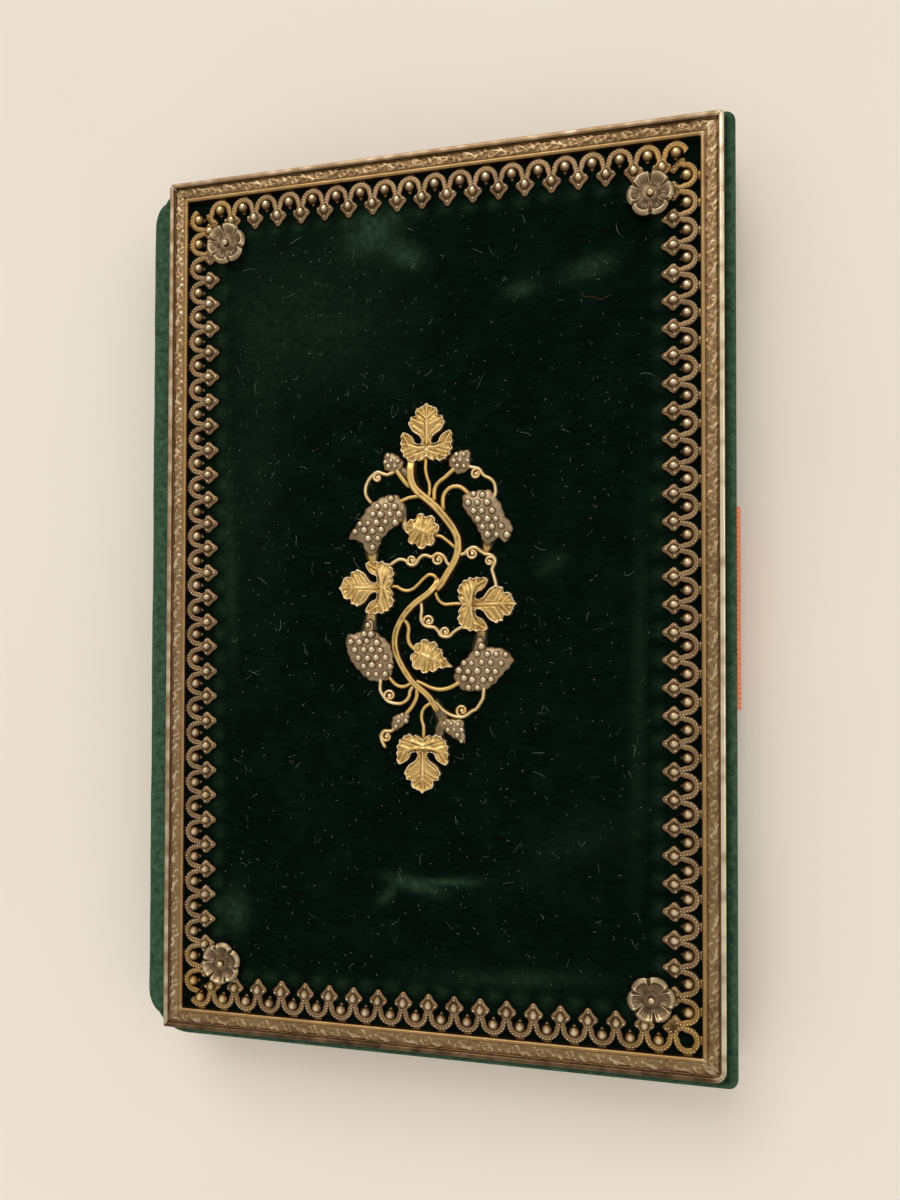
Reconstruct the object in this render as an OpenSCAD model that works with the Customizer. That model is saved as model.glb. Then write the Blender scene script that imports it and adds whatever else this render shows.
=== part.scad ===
// Aide memoire case: two velvet covers joined by a soft rounded spine, a pierced
// gallery border, corner rosettes and a vine mount on the front cover, silk inside
// with pockets, a memo pad and a pencil in a ribbon loop at the fore-edge.
// X runs to the fore-edge, Y to the head, Z up from the face that it lies on.

/* [Covers] */
// Width of the metal border, spine side to fore-edge
border_w = 73; // [65:0.5:90]
// Height of the metal border, tail to head
border_h = 115; // [100:0.5:140]
// Velvet showing past the border at the fore-edge
margin_fore = 1.4; // [0.8:0.1:3]
// Velvet past the border at the spine
margin_spine = 2.2; // [1.6:0.1:3]
// Velvet past the border at the head
margin_head = 0.5; // [0.3:0.1:3]
// Velvet past the border at the tail
margin_tail = 1.1; // [0.5:0.1:3]
// Thickness of each cover board
board_t = 2.1; // [1.6:0.1:3]
// Thickness of the velvet on the boards
velvet_t = 0.5; // [0.4:0.05:0.7]
// Thickness of the silk lining panels
lining_t = 0.4; // [0.3:0.05:0.6]
// Radius of the cover corners at the fore-edge
corner_r = 1.2; // [0.6:0.1:2]
// Radius of the cover corners at the spine
spine_side_r = 5.2; // [2:0.1:7]
// Clear height between the two covers
inner_gap = 5; // [4.8:0.1:7]

/* [Spine] */
// How far the spine bulges past its hinge lines
spine_bulge = 1.8; // [1.2:0.1:2]
// How much shorter the spine is than the covers at each end
spine_inset = 4.2; // [2:0.1:6]
// Radius of the spine's end corners seen from above
spine_corner_r = 1.7; // [0.8:0.1:1.8]
// Card inlay of the spine
inlay_t = 0.3; // [0.2:0.05:0.4]
// Silk inside the spine
spine_lining_t = 0.25; // [0.2:0.05:0.4]
// Gap between a cover's edge and the hinge line
hinge_gap = 0.3; // [0.2:0.05:0.5]
// How far the upper hinge line lies below the velvet
hinge_drop = 0.2; // [0:0.1:0.5]

/* [Border] */
// Width of the moulding along the outside
moulding_w = 2.75; // [2.2:0.05:3.4]
// Height of the moulding's flat band over the velvet
band_h = 0.62; // [0.4:0.02:0.8]
// Radius of the outer rounded fillet
outer_fillet_r = 0.34; // [0.2:0.02:0.45]
// Radius of the inner rounded fillet
inner_fillet_r = 0.22; // [0.15:0.01:0.3]
// Length of one arch of the gallery
gallery_pitch = 3.33; // [3:0.01:3.8]
// Width of metal round each arch
arch_wall = 0.5; // [0.4:0.02:0.6]
// Thickness of the gallery plate
plate_t = 0.6; // [0.4:0.05:0.8]
// Clear height between the moulding and the arches, bridged by the tabs
tab_l = 0.5; // [0.3:0.05:0.8]
// Width of each tab
tab_w = 0.9; // [0.6:0.05:1.2]
// Height and width of the milled rim on each arch
rim = 0.25; // [0.15:0.01:0.35]
// Width of each finial
finial_w = 2.1; // [1.6:0.05:2.4]
// Length of each finial past the arch centres
finial_l = 2.4; // [2:0.05:3]
// Radius of the bead in each arch
bead_r = 0.55; // [0.4:0.01:0.65]
// Radius of the boss on each finial
boss_r = 0.52; // [0.35:0.01:0.65]

/* [Rosettes] */
// Overall radius of a rosette
rosette_r = 2.8; // [2.2:0.05:3.2]
// Petals of a rosette
petals = 6; // [5:1:7]
// Height of the petals
petal_h = 0.8; // [0.5:0.05:1]
// Radius of the bead in the middle
rosette_bead_r = 0.45; // [0.3:0.05:0.6]
// Distance of the rosettes from the border's outer edges
rosette_inset = 8.6; // [7.5:0.1:11]
// How much further in they lie from the head and tail
rosette_shift = 0.6; // [0:0.1:2]

/* [Vine mount] */
// Overall height of the vine mount
vine_h = 49.7; // [40:0.1:60]
// Thickness of the leaves at their edges
leaf_edge_t = 0.45; // [0.3:0.05:0.7]
// Height of the leaves between their veins
leaf_h = 1.05; // [0.7:0.05:1.4]
// Height of the main stems
stem_h = 0.95; // [0.6:0.05:1.2]
// Width of the main stem at its thickest
stem_w = 1.2; // [0.8:0.05:1.5]
// Height of the stalks and tendrils
stalk_h = 0.6; // [0.4:0.05:0.8]
// Width of the stalks
stalk_w = 0.6; // [0.4:0.05:0.8]
// Width of the tendrils
tendril_w = 0.5; // [0.4:0.02:0.6]
// Radius of one grape in the large bunches
grape_r = 0.58; // [0.45:0.01:0.62]
// Radius of one berry in the small bunches
berry_r = 0.37; // [0.28:0.01:0.4]
// Thickness of the plate behind a bunch
bunch_plate_t = 0.45; // [0.3:0.05:0.6]
// Radius of the pins that hold the mounts
pin_r = 0.4; // [0.3:0.05:0.6]
// Radius of the riveted heads of the pins
pin_head_r = 0.85; // [0.7:0.05:1.2]
// Thickness of those heads
pin_head_t = 0.3; // [0.2:0.05:0.5]

/* [Inside] */
// Thickness of the silk of the pockets and of the ribbon
silk_t = 0.4; // [0.3:0.05:0.5]
// Width of the memo pad
memo_w = 60; // [45:0.5:62]
// Length of the memo pad
memo_l = 98; // [80:0.5:104]
// Thickness of the memo pad's card
card_t = 0.5; // [0.3:0.05:0.6]
// Thickness of the leaves
leaves_t = 1.3; // [0.8:0.1:1.5]
// Length of the binding at the head of the pad
binding_l = 6; // [4:0.5:10]
// Depth of the pocket that holds the pad
back_pocket_l = 40; // [25:0.5:42]
// Depth of the pocket in the front cover
front_pocket_l = 62; // [40:0.5:80]
// Space inside the front pocket
front_pocket_gap = 0.6; // [0.4:0.05:0.8]
// Width of the sewn seams of the pockets
seam_w = 2.5; // [1.5:0.1:4]
// Radius of the pencil
pencil_r = 1.6; // [1.2:0.05:1.65]
// Length of the pencil from finial to point
pencil_l = 88; // [70:0.5:100]
// Length of the ribbon loop along the fore-edge
loop_l = 25; // [15:0.5:30]
// How far the loop stands past the velvet
loop_out = 0.9; // [0.4:0.1:1.5]
// Middle of the loop, towards the head
loop_y = -1.5; // [-10:0.5:10]
// Length of the loop's sewn tail
loop_tail = 3.5; // [2:0.5:4]
// Radius of the lead
lead_r = 0.55; // [0.4:0.05:0.8]

/* [Fits] */
// Clearance of a pin in its hole
pin_clear = 0.05; // [0.02:0.01:0.1]
// Clearance of the card in its pocket
pocket_clear = 0.2; // [0.1:0.05:0.3]
// Clearance round the pencil in its loop
loop_clear = 0.2; // [0.15:0.05:0.3]
// Glue line between curved layers
glue_gap = 0.03; // [0.02:0.01:0.06]
// Solder seam at the mitres of the border
mitre_gap = 0.04; // [0.02:0.01:0.1]

/* [Hidden] */
$fn = 48;

// Colours of the materials
velvet_green = "#16331f";
silk_coral = "#e0703f";
gilt_rose = "#b98a68";
gilt_yellow = "#d9b36c";
silver_grey = "#a39a94";
board_brown = "#8a6a48";
paper_cream = "#efe6d2";
lead_grey = "#3a3a3c";

// Plan of the covers
x_fore = border_w / 2 + margin_fore;
x_spine = -border_w / 2 - margin_spine;
y_head = border_h / 2 + margin_head;
y_tail = -border_h / 2 - margin_tail;
x_hinge = x_spine - hinge_gap;

// Levels from the rest face up
cover_t = velvet_t + board_t + lining_t;
z_front = cover_t + inner_gap;
z_top = z_front + cover_t;
bead_sink = 0.05;
bead_rise = petal_h - bead_sink;
rosette_t = bead_rise + rosette_bead_r;
z_relief = z_top + plate_t + rosette_t;
z_hinge_front = z_top - hinge_drop;
z_hinge_back = z_relief - z_hinge_front;

// The rounded spine: one arc through both hinge lines
spine_chord = z_hinge_front - z_hinge_back;
spine_r = (pow(spine_chord / 2, 2) + pow(spine_bulge, 2)) / (2 * spine_bulge);
spine_cx = x_hinge - spine_bulge + spine_r;
spine_cz = (z_hinge_front + z_hinge_back) / 2;

// The gallery, measured inwards from the border's outer edge
arch_lap = 0.015;
arch_r = gallery_pitch / 2 + arch_lap;
arch_w = moulding_w + tab_l + arch_r;
hole_r = arch_r - arch_wall;
gallery_d = arch_w + finial_l;
bead_w = arch_w - hole_r + bead_r * 0.9;
boss_w = arch_w + finial_l * 0.56;
rosette_x = border_w / 2 - rosette_inset;
rosette_y = border_h / 2 - rosette_inset - rosette_shift;

// Small laps that join the pieces of the border
tab_root = 0.3;
seam = 0.05;
fillet_set = 0.02;
end_reach = 0.4;

// Where the crown of one arch lies on each side
crown_top = 0.95;
crown_bottom = 2.1;
crown_left = -1.1;
crown_right = 0.35;

// Levels and places inside the case
memo_seat = 2.6;
leaves_inset = 1;
pencil_back = 0.4;
pencil_shift = 4;
pocket_inset = 2.5;
pocket_side = 0.3;
pocket_loop_gap = 1;
back_slot_h = card_t + 2 * pocket_clear;
z_card = cover_t + pocket_clear;
z_leaves = cover_t + back_slot_h + silk_t + pocket_clear / 2;
loop_in_r = pencil_r + loop_clear;
loop_r = loop_in_r + silk_t;
loop_x = x_fore + loop_out - loop_r;
pencil_x = loop_x - pencil_back;
loop_z = cover_t + loop_r;
loop_back_x = pencil_x - pencil_r - loop_clear + loop_in_r;
pencil_y = loop_y + pencil_shift - pencil_l / 2;
cap_l = 6;
point_l = 7;
cone_l = 5;
lead_seat = 8;
lead_point = 2;
loop_tail_x = loop_back_x - loop_r - loop_tail;
pocket_x0 = x_spine + velvet_t + pocket_side;
pocket_x1 = loop_back_x - loop_r - pocket_loop_gap;
pocket_base = y_tail + pocket_inset;
slot_w = memo_w + 2 * pocket_clear;
// Middle of the memo pad: between the spine and the loop, and up from the end of its pocket
memo_x = (x_spine + velvet_t + loop_tail_x) / 2;
memo_y = pocket_base + seam_w + memo_seat + memo_l / 2;

// The vine mount: points in millimetres on a mount 49.7 high, from the cover's middle
vine_scale = vine_h / 49.7;

// Half outline of a large leaf: across, along, and the vein point that it rises to
large_veins = [[0, 1.7], [1.9, 0.75], [2.5, 2], [0, 5.5]];
large_half = [
  [0, 0.25, 0], [0.6, -0.15, 1], [1.2, -0.3, 1], [1.75, -0.05, 1], [2.4, -0.1, 1], [3, 0.3, 1],
  [3.35, 0.9, 0], [3.75, 1.5, 2], [3.7, 2.2, 2], [4, 2.9, 2], [3.6, 3.6, 2], [3, 3.75, 2],
  [2.5, 3.45, 2], [2, 3.35, 2], [1.7, 2.8, 2], [1.4, 2.4, 0], [1, 2.3, 0], [0.75, 2.65, 0],
  [0.85, 3.1, 0], [1.3, 3.5, 3], [2, 4, 3], [2.45, 4.4, 3], [2.25, 5, 3], [2.2, 5.6, 3],
  [1.75, 5.95, 3], [1.1, 5.75, 3], [1, 6.3, 3], [0.65, 6.9, 3], [0, 7.3, 3]
];
// Half outline of the round leaf
round_veins = [[0, 1.2], [0, 2.2], [0, 3.4]];
round_half = [
  [0, 0.3, 0], [0.7, -0.1, 0], [1.5, 0.1, 0], [1.9, 0.8, 0], [2.2, 1.4, 1], [2, 2, 1],
  [2.15, 2.7, 1], [1.6, 3.2, 2], [1.2, 3.5, 2], [1.1, 4, 2], [0.5, 4.3, 2], [0, 4.8, 2]
];
// Half outline of the heart leaf
heart_veins = [[0, 1.3], [0, 2.6], [0, 4.2]];
heart_half = [
  [0, 0.2, 0], [0.8, -0.1, 0], [1.6, 0.5, 0], [2.1, 1.5, 0], [2.05, 2.4, 1], [1.8, 3.2, 1],
  [1.2, 4, 1], [0.75, 4.6, 2], [0.35, 5.2, 2], [0, 5.7, 2]
];

// Outlines through the outermost grapes of each bunch
bunch_upper_left = [
  [-3.4, 12.3], [-3.2, 11.2], [-3.4, 10.1], [-4.6, 9.2], [-5.6, 8.2], [-6.8, 7.7], [-8.6, 7.9],
  [-10.2, 8.1], [-9.2, 9.6], [-8.5, 10.6], [-7.9, 11.6], [-6.9, 12.4], [-5.6, 13], [-4.3, 13.1]
];
bunch_upper_right = [
  [5.2, 12.9], [4.9, 11.9], [5.1, 11.1], [5.8, 10.1], [6.6, 9], [7.2, 8], [8, 7.5], [9.2, 7.6],
  [10.1, 7], [10.8, 8.3], [10.7, 9.2], [9.9, 10.2], [9.6, 11.2], [9, 12.2], [8.3, 13.1], [7, 13.2]
];
bunch_lower_left = [
  [-10.5, -5], [-9.2, -4.5], [-7.8, -4.7], [-6.3, -5], [-5.2, -5.7], [-4.6, -6.8], [-4.5, -8],
  [-4.7, -9.2], [-5.1, -10.1], [-6.4, -10.4], [-7.6, -10.2], [-8.6, -9.4], [-10.1, -7.5]
];
bunch_lower_right = [
  [4, -10.4], [4, -9.4], [4.8, -8.3], [5.7, -7.4], [6.6, -6.7], [7.6, -6.6], [8.9, -6.5], [10, -6.8],
  [10.8, -7.6], [10.8, -8.4], [9.5, -9.8], [8.7, -10.7], [7.6, -11.4], [6.2, -11.6], [5, -11.5]
];
bunch_top_left = [
  [-3.5, 18], [-4.6, 18.7], [-5.5, 18.7], [-5.6, 17.8], [-5.5, 16.8], [-4, 16.3], [-3.2, 17.2]
];
bunch_top_right = [
  [3.4, 18.1], [4.4, 18.5], [5.5, 18.5], [5.6, 17.5], [5.5, 16.5], [4.8, 15.9], [3.8, 15.9], [3, 17.1]
];
bunch_bottom_left = [
  [-2.5, -14.8], [-3.4, -14.9], [-4.3, -15.3], [-4.5, -16.8], [-3.7, -16.8], [-2.4, -15.6]
];
bunch_bottom_right = [
  [2.4, -15.5], [3.6, -15.5], [4.7, -15.6], [4.9, -16.6], [5, -18.2], [4.2, -18], [3.3, -17.5], [2.6, -16.8]
];

// The two main stems
stem_upper = [
  [-2, 17.5], [-2.1, 16.3], [-2, 15.2], [-1.6, 14.2], [-0.8, 13.3], [0.2, 12.5], [1.2, 11.6], [2.1, 10.6],
  [2.9, 9.6], [3.6, 8.6], [4.1, 7.5], [4.2, 6.4], [4, 5.2], [3.5, 4.1], [2.8, 3], [2.2, 2], [1.3, 0.8]
];
stem_lower = [
  [1.2, 2.6], [1.4, 2.1], [1.1, 1.4], [0.5, 0.7], [-0.3, 0.1], [-1.3, -0.6], [-2.2, -1.4], [-3, -2.4],
  [-3.6, -3.5], [-4, -4.6], [-4.1, -5.8], [-3.9, -7], [-3.4, -8.2], [-2.7, -9.4], [-1.9, -10.5],
  [-1.1, -11.3], [-0.2, -12], [0.6, -12.8], [1.1, -13.6], [1.7, -14.6]
];
// Stalks from the stems to the leaves and bunches
stalks = [
  [[-0.05, 18], [-0.15, 16.6], [0.05, 15.5], [0.35, 14.6], [0.4, 13.6], [0.2, 12.6]],
  [[3.2, 16], [2.4, 15.3], [1.7, 14.8], [1.2, 14.2], [1, 13.4], [1, 12.2]],
  [[5.6, 13], [4.6, 13.9], [3.8, 14.1], [3, 13.9], [2.4, 13.3], [2.15, 12.5], [2.2, 11]],
  [[-0.6, 13.1], [-1.6, 13], [-2.3, 12.9], [-2.9, 12.7], [-3.8, 12.3]],
  [[-2.2, 14.2], [-3, 15.1], [-3.8, 16.2], [-4.2, 16.8]],
  [[1, 8], [1.9, 7.8], [2.5, 7.4], [3.1, 6.9], [3.9, 6.2]],
  [[-4.8, 1.5], [-3.9, 1.5], [-3.3, 1.15], [-2.5, 0.95], [-1.7, 1.2], [-1, 1.8], [-0.3, 2.5], [0.4, 2.95],
    [1.1, 2.7]],
  [[1.2, 0.8], [1.4, 0.1], [1.8, -0.5], [2.4, -0.85], [3.1, -0.85], [3.8, -0.8], [4.8, -0.85]],
  [[-3.6, -2.9], [-2.9, -2.9], [-2.5, -3.3], [-2.3, -4], [-2.4, -5], [-2.2, -5.8], [-1.7, -6.4], [-1, -7]],
  [[-5, -10], [-4.2, -10.9], [-3.5, -11.3], [-2.8, -11.3], [-2.2, -11], [-1.7, -10.5]],
  [[-1.5, -10.6], [-0.6, -10.9], [0.5, -11.4], [1.5, -11.65], [2.5, -11.6], [3.4, -11.3], [4.6, -10.6]],
  [[-1.2, -11.4], [-1.2, -12.5], [-1.5, -13.3], [-2, -14.1], [-2.9, -15.1]],
  [[-0.3, -18], [-0.3, -16.4], [-0.55, -15.5], [-0.5, -14.6], [-0.1, -13.9], [0.8, -13.3]]
];
stalk_share = [0.85, 1, 1, 0.9, 1.15, 0.85, 0.85, 0.85, 1, 0.9, 1, 1, 0.85];
// Webs that tie each bunch to what stands above or beside it: from, to and their half widths
webs = [
  [[-7.5, 7.8], [-7.3, 5.3], 1.1, 0.5], [[8, 8], [7.8, 6.4], 0.8, 0.5],
  [[-7.8, -4.6], [-7.4, -2], 1, 0.5], [[6.9, -6.6], [7.1, -4.2], 0.9, 0.5],
  [[1.1, -13.4], [2.6, -16.2], 0.5, 1], [[-3.9, 16.8], [-2.2, 15.6], 0.6, 0.6],
  [[-3.2, 11.6], [-3, 9.6], 0.45, 0.4], [[1.8, -16.6], [1.6, -17.8], 0.6, 0.6]
];
// Tendrils between the bunches and leaves
tendrils = [
  [[-4.2, 16.4], [-5.2, 16], [-5.9, 16.2], [-6.5, 16.4], [-7.1, 16.1], [-7.7, 15.5], [-8.1, 14.7],
    [-8.2, 13.9], [-8, 13.2], [-7.3, 12.3]],
  [[5.2, 16.6], [6.4, 16.3], [6.9, 16.1], [7.2, 15.6], [7.6, 15.2], [8.2, 14.9], [8.7, 14.4], [8.9, 13.7],
    [8.9, 12.9], [8.5, 12.2]],
  [[-5, 4.2], [-3.9, 4.9], [-3.3, 5], [-2.7, 4.8], [-2.4, 4.4], [-1.8, 4.2], [-1.3, 4.5], [-1, 5],
    [-0.5, 5.4], [0.1, 5.4], [0.7, 5.2], [1.4, 5.6], [2.1, 5.4], [2.5, 4.9], [2.8, 4.3], [3.5, 3.9]],
  [[4.1, 5.4], [4.9, 5.5], [5.3, 5.9], [5.9, 6.25], [6.5, 6.2], [7, 5.8], [7.6, 5.4], [8.2, 5.3], [8.7, 5],
    [8.9, 4.5], [8.7, 3.9], [8.5, 3.4], [8.7, 2.7], [8.9, 2], [9.1, 1]],
  [[-0.7, -0.4], [-0.6, -1.6], [-0.7, -2.4], [-0.6, -3], [-0.2, -3.5], [0.4, -3.7], [1.1, -3.8], [1.6, -4.3],
    [1.9, -4.8], [2.5, -5], [3.1, -4.9], [3.6, -4.4], [4.2, -4], [5, -3.6]],
  [[-6, -10.2], [-6.1, -11.7], [-5.7, -12.5], [-5.2, -13.1], [-4.6, -13.4], [-4, -13.5], [-3.3, -13.5],
    [-2.6, -13.1], [-2.2, -12.5], [-2.1, -11.9], [-1.6, -11.2]],
  [[0.7, -12.8], [1.6, -13.6], [2.3, -14.3], [3.1, -14.8], [4, -15.1], [4.8, -15.1], [5.4, -14.8],
    [5.9, -14.4], [6.5, -14.1], [7, -13.4], [7.4, -12.6], [7.5, -11.2]],
  [[-4, -16.4], [-4.5, -17], [-5, -17.05], [-5.6, -17.1], [-5.95, -17.7], [-5.8, -18.4], [-5.3, -19.3]]
];
// Shares of the stem's width at the two ends of each main stem
stem_upper_share = [1, 0.85];
stem_lower_share = [0.8, 0.75];
// Share of its height by which a bar's middle stands over the velvet
bar_lift_ratio = 0.08;
// Curls: middle, outer radius, start angle and turning direction
curls = [
  [-6.55, 15.7, 0.6, 60, 1], [6.45, 15.55, 0.65, 60, 1], [-1.9, 4.85, 0.62, 270, -1],
  [1.55, 4.85, 0.75, 90, 1],
  [6, 5.5, 0.72, 120, 1], [8.2, 4.45, 0.62, 0, 1], [0.35, -2.95, 0.7, 200, -1], [2.5, -4.35, 0.62, 250, -1],
  [-4.8, -12.5, 0.78, 240, -1], [4.7, -14.3, 0.75, 270, -1], [-5.2, -17.75, 0.7, 90, 1]
];
curl_turns = 1.1;
curl_steps = 10;
// Shares of a curl's radius at which its bar starts and by which it closes in
curl_start_ratio = 0.78;
curl_drop_ratio = 0.5;
// Pins behind the mount
vine_pin_at = [[0, 19.4], [-6, 1.4], [6, -1], [-0.35, -19.4]];

// Points of a smooth curve through a list of points, n steps to each span
function spline(p, n) = [
  for (i = [0:len(p) - 2])
    for (k = [0:n - 1])
      let (
        a = p[max(i - 1, 0)],
        b = p[i],
        c = p[i + 1],
        d = p[min(i + 2, len(p) - 1)],
        t = k / n
      )
      0.5 * (2 * b + (c - a) * t + (2 * a - 5 * b + 4 * c - d) * t * t + (3 * b - a - 3 * c + d) * t * t * t),
  p[len(p) - 1]
];

// Unit vector across a path at point i
function across(p, i) =
  let (
    v = p[min(i + 1, len(p) - 1)] - p[max(i - 1, 0)],
    l = norm(v)
  )
  [-v[1], v[0]] / l;

// True where point q lies inside outline p
function inside(q, p) =
  len([
    for (i = [0:len(p) - 1])
      let (a = p[i], b = p[(i + 1) % len(p)])
      if ((a[1] > q[1]) != (b[1] > q[1]) && q[0] < (b[0] - a[0]) * (q[1] - a[1]) / (b[1] - a[1]) + a[0]) 1
  ]) % 2 == 1;

// Middle of an outline's points
function middle(p) = [for (k = [0, 1]) [for (q = p) q[k]] * [for (q = p) 1] / len(p)];

// Points of a triangular lattice inside an outline
function lattice(p, step) =
  let (c = middle(p), rise = step * sqrt(3) / 2)
  [
    for (j = [-7:7])
      for (i = [-7:7])
        let (q = c + [i * step + (j % 2 == 0 ? 0 : step / 2), j * rise])
        if (inside(q, p)) q
  ];

// A profile in X and Z carried along Y
module along_y(y0, y1) {
  translate([0, y1, 0])
    rotate([90, 0, 0])
      linear_extrude(y1 - y0)
        children();
}

// Rectangle from low to high corner, with corners of r0 at its low X side and r1 at the other
module round_rect(lo, hi, r0, r1) {
  translate([lo[0] + r0, lo[1]])
    square([hi[0] - lo[0] - r0 - r1, hi[1] - lo[1]]);
  translate([lo[0], lo[1] + r0])
    square([hi[0] - lo[0] - r1, hi[1] - lo[1] - 2 * r0]);
  translate([lo[0] + r0, lo[1] + r1])
    square([hi[0] - lo[0] - r0, hi[1] - lo[1] - 2 * r1]);
  for (corner = [[lo[0] + r0, r0], [hi[0] - r1, r1]])
    for (y = [lo[1] + corner[1], hi[1] - corner[1]])
      translate([corner[0], y])
        circle(corner[1]);
}

// A cover's plan, drawn in by d on every side
module cover_plan(d) {
  round_rect(
    [x_spine + d, y_tail + d],
    [x_fore - d, y_head - d],
    spine_side_r - d,
    max(corner_r - d, corner_r / 3)
  );
}

// A pocket's plan, cut to the round corner of the cover
module pocket_plan(l) {
  intersection() {
    translate([pocket_x0, pocket_base])
      square([pocket_x1 - pocket_x0, l]);
    cover_plan(velvet_t + pocket_side);
  }
}

// Places of the pins through the front cover
pins_at = concat(
  [for (sx = [-1, 1]) for (sy = [-1, 1]) [sx * rosette_x, sy * rosette_y]],
  [for (p = vine_pin_at) p * vine_scale]
);

// Holes for the pins, from z0 up by h
module pin_holes(z0, h, r) {
  for (p = pins_at)
    translate([p[0], p[1], z0])
      cylinder(r = r, h = h);
}

module back_board() {
  color(board_brown)
    translate([0, 0, velvet_t])
      linear_extrude(board_t)
        cover_plan(velvet_t);
}

module back_velvet() {
  color(velvet_green)
    difference() {
      linear_extrude(cover_t)
        cover_plan(0);
      translate([0, 0, velvet_t])
        linear_extrude(cover_t)
          cover_plan(velvet_t);
    }
}

module back_lining() {
  color(silk_coral)
    translate([0, 0, velvet_t + board_t])
      linear_extrude(lining_t)
        cover_plan(velvet_t);
}

module back_pocket() {
  color(silk_coral)
    difference() {
      translate([0, 0, cover_t])
        linear_extrude(back_slot_h + silk_t)
          pocket_plan(back_pocket_l);
      translate([memo_x - slot_w / 2, pocket_base + seam_w, cover_t - silk_t])
        cube([slot_w, back_pocket_l, back_slot_h + silk_t]);
    }
}

// Ribbon sewn down as a tail, then round the pencil and back on itself
module pencil_loop() {
  color(silk_coral)
    along_y(loop_y - loop_l / 2, loop_y + loop_l / 2)
      difference() {
        union() {
          translate([loop_back_x, cover_t])
            square([loop_x - loop_back_x, 2 * loop_r]);
          translate([loop_x, loop_z])
            circle(loop_r);
          translate([loop_back_x, loop_z])
            circle(loop_r);
          translate([loop_back_x - loop_r - loop_tail, cover_t])
            square([loop_r + loop_tail, silk_t]);
        }
        translate([loop_back_x, loop_z - loop_in_r])
          square([loop_x - loop_back_x, 2 * loop_in_r]);
        translate([loop_x, loop_z])
          circle(loop_in_r);
        translate([loop_back_x, loop_z])
          circle(loop_in_r);
      }
}

// One curved layer of the spine between two radii
module spine_layer(r_out, r_in) {
  intersection() {
    along_y(y_tail + spine_inset, y_head - spine_inset)
      difference() {
        intersection() {
          translate([spine_cx, spine_cz])
            circle(r_out);
          translate([x_hinge - 2 * spine_bulge, 0])
            square([2 * spine_bulge, z_relief]);
        }
        translate([spine_cx, spine_cz])
          circle(r_in);
      }
    linear_extrude(z_relief)
      round_rect(
        [x_hinge - spine_bulge, y_tail + spine_inset],
        [x_fore, y_head - spine_inset],
        spine_corner_r,
        spine_corner_r
      );
  }
}

module spine_velvet() {
  color(velvet_green)
    spine_layer(spine_r, spine_r - velvet_t);
}

module spine_inlay() {
  color(board_brown)
    spine_layer(spine_r - velvet_t - glue_gap, spine_r - velvet_t - glue_gap - inlay_t);
}

module spine_lining() {
  r = spine_r - velvet_t - 2 * glue_gap - inlay_t;
  color(silk_coral)
    spine_layer(r, r - spine_lining_t);
}

module front_board() {
  color(board_brown)
    difference() {
      translate([0, 0, z_front + lining_t])
        linear_extrude(board_t)
          cover_plan(velvet_t);
      pin_holes(z_front, cover_t, pin_r + pin_clear);
      pin_holes(z_front, lining_t + pin_head_t + pin_clear, pin_head_r + pin_clear);
    }
}

module front_velvet() {
  color(velvet_green)
    difference() {
      translate([0, 0, z_front])
        linear_extrude(cover_t)
          cover_plan(0);
      translate([0, 0, z_front - velvet_t])
        linear_extrude(cover_t)
          cover_plan(velvet_t);
      pin_holes(z_front, 2 * cover_t, pin_r + pin_clear);
    }
}

module front_lining() {
  color(silk_coral)
    translate([0, 0, z_front])
      linear_extrude(lining_t)
        cover_plan(velvet_t);
}

module front_pocket() {
  d = front_pocket_gap + silk_t;
  color(silk_coral)
    difference() {
      translate([0, 0, z_front - d])
        linear_extrude(d)
          pocket_plan(front_pocket_l);
      translate([pocket_x0 + seam_w, pocket_base + seam_w, z_front - front_pocket_gap])
        cube([pocket_x1 - pocket_x0 - 2 * seam_w, front_pocket_l, d]);
    }
}

// Plan of one border strip with mitred ends: along U, and W inwards
module mitre_plan(l) {
  e = l / 2 - mitre_gap / sqrt(2);
  polygon([[-e, 0], [e, 0], [e - gallery_d, gallery_d], [gallery_d - e, gallery_d]]);
}

// Crowns of the arches that fit a strip
function crowns(l, first) =
  let (n = floor((l / 2 - arch_w + abs(first)) / gallery_pitch) + 1)
  [
    for (k = [-n:n])
      let (u = first + k * gallery_pitch)
      if (abs(u) < l / 2 - arch_w + end_reach) u
  ];

// Pierced plate of the gallery: tabs, arches, the stems of the beads and the finials
module gallery_plan(at) {
  difference() {
    union() {
      for (u = at) {
        intersection() {
          translate([u, arch_w])
            circle(arch_r);
          translate([u - gallery_pitch, moulding_w])
            square([2 * gallery_pitch, arch_w - moulding_w + 2 * seam]);
        }
        translate([u - tab_w / 2, moulding_w - tab_root])
          square([tab_w, tab_l + tab_root + arch_wall / 2]);
      }
      for (u = at)
        for (s = u == at[0] ? [-1, 1] : [1])
          translate([u + s * gallery_pitch / 2, arch_w])
            finial_plan();
    }
    for (u = at)
      translate([u, arch_w])
        circle(hole_r);
  }
  for (u = at)
    translate([u - bead_r * 0.6, arch_w - hole_r - arch_wall / 2])
      square([bead_r * 1.2, arch_wall / 2 + bead_r]);
}

// Pointed finial below the meeting of two arches
module finial_plan() {
  shoulder = finial_l * 0.45;
  cheek = finial_l * 0.73;
  polygon([
    [-finial_w * 0.4, 0], [-finial_w / 2, shoulder], [-finial_w * 0.33, cheek], [0, finial_l],
    [finial_w * 0.33, cheek], [finial_w / 2, shoulder], [finial_w * 0.4, 0]
  ]);
}

// Section of the moulding: a flat band between two rounded fillets
module moulding_section() {
  square([moulding_w, band_h]);
  translate([outer_fillet_r + fillet_set, band_h])
    circle(outer_fillet_r);
  translate([moulding_w - inner_fillet_r - fillet_set, band_h])
    circle(inner_fillet_r);
}

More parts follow.
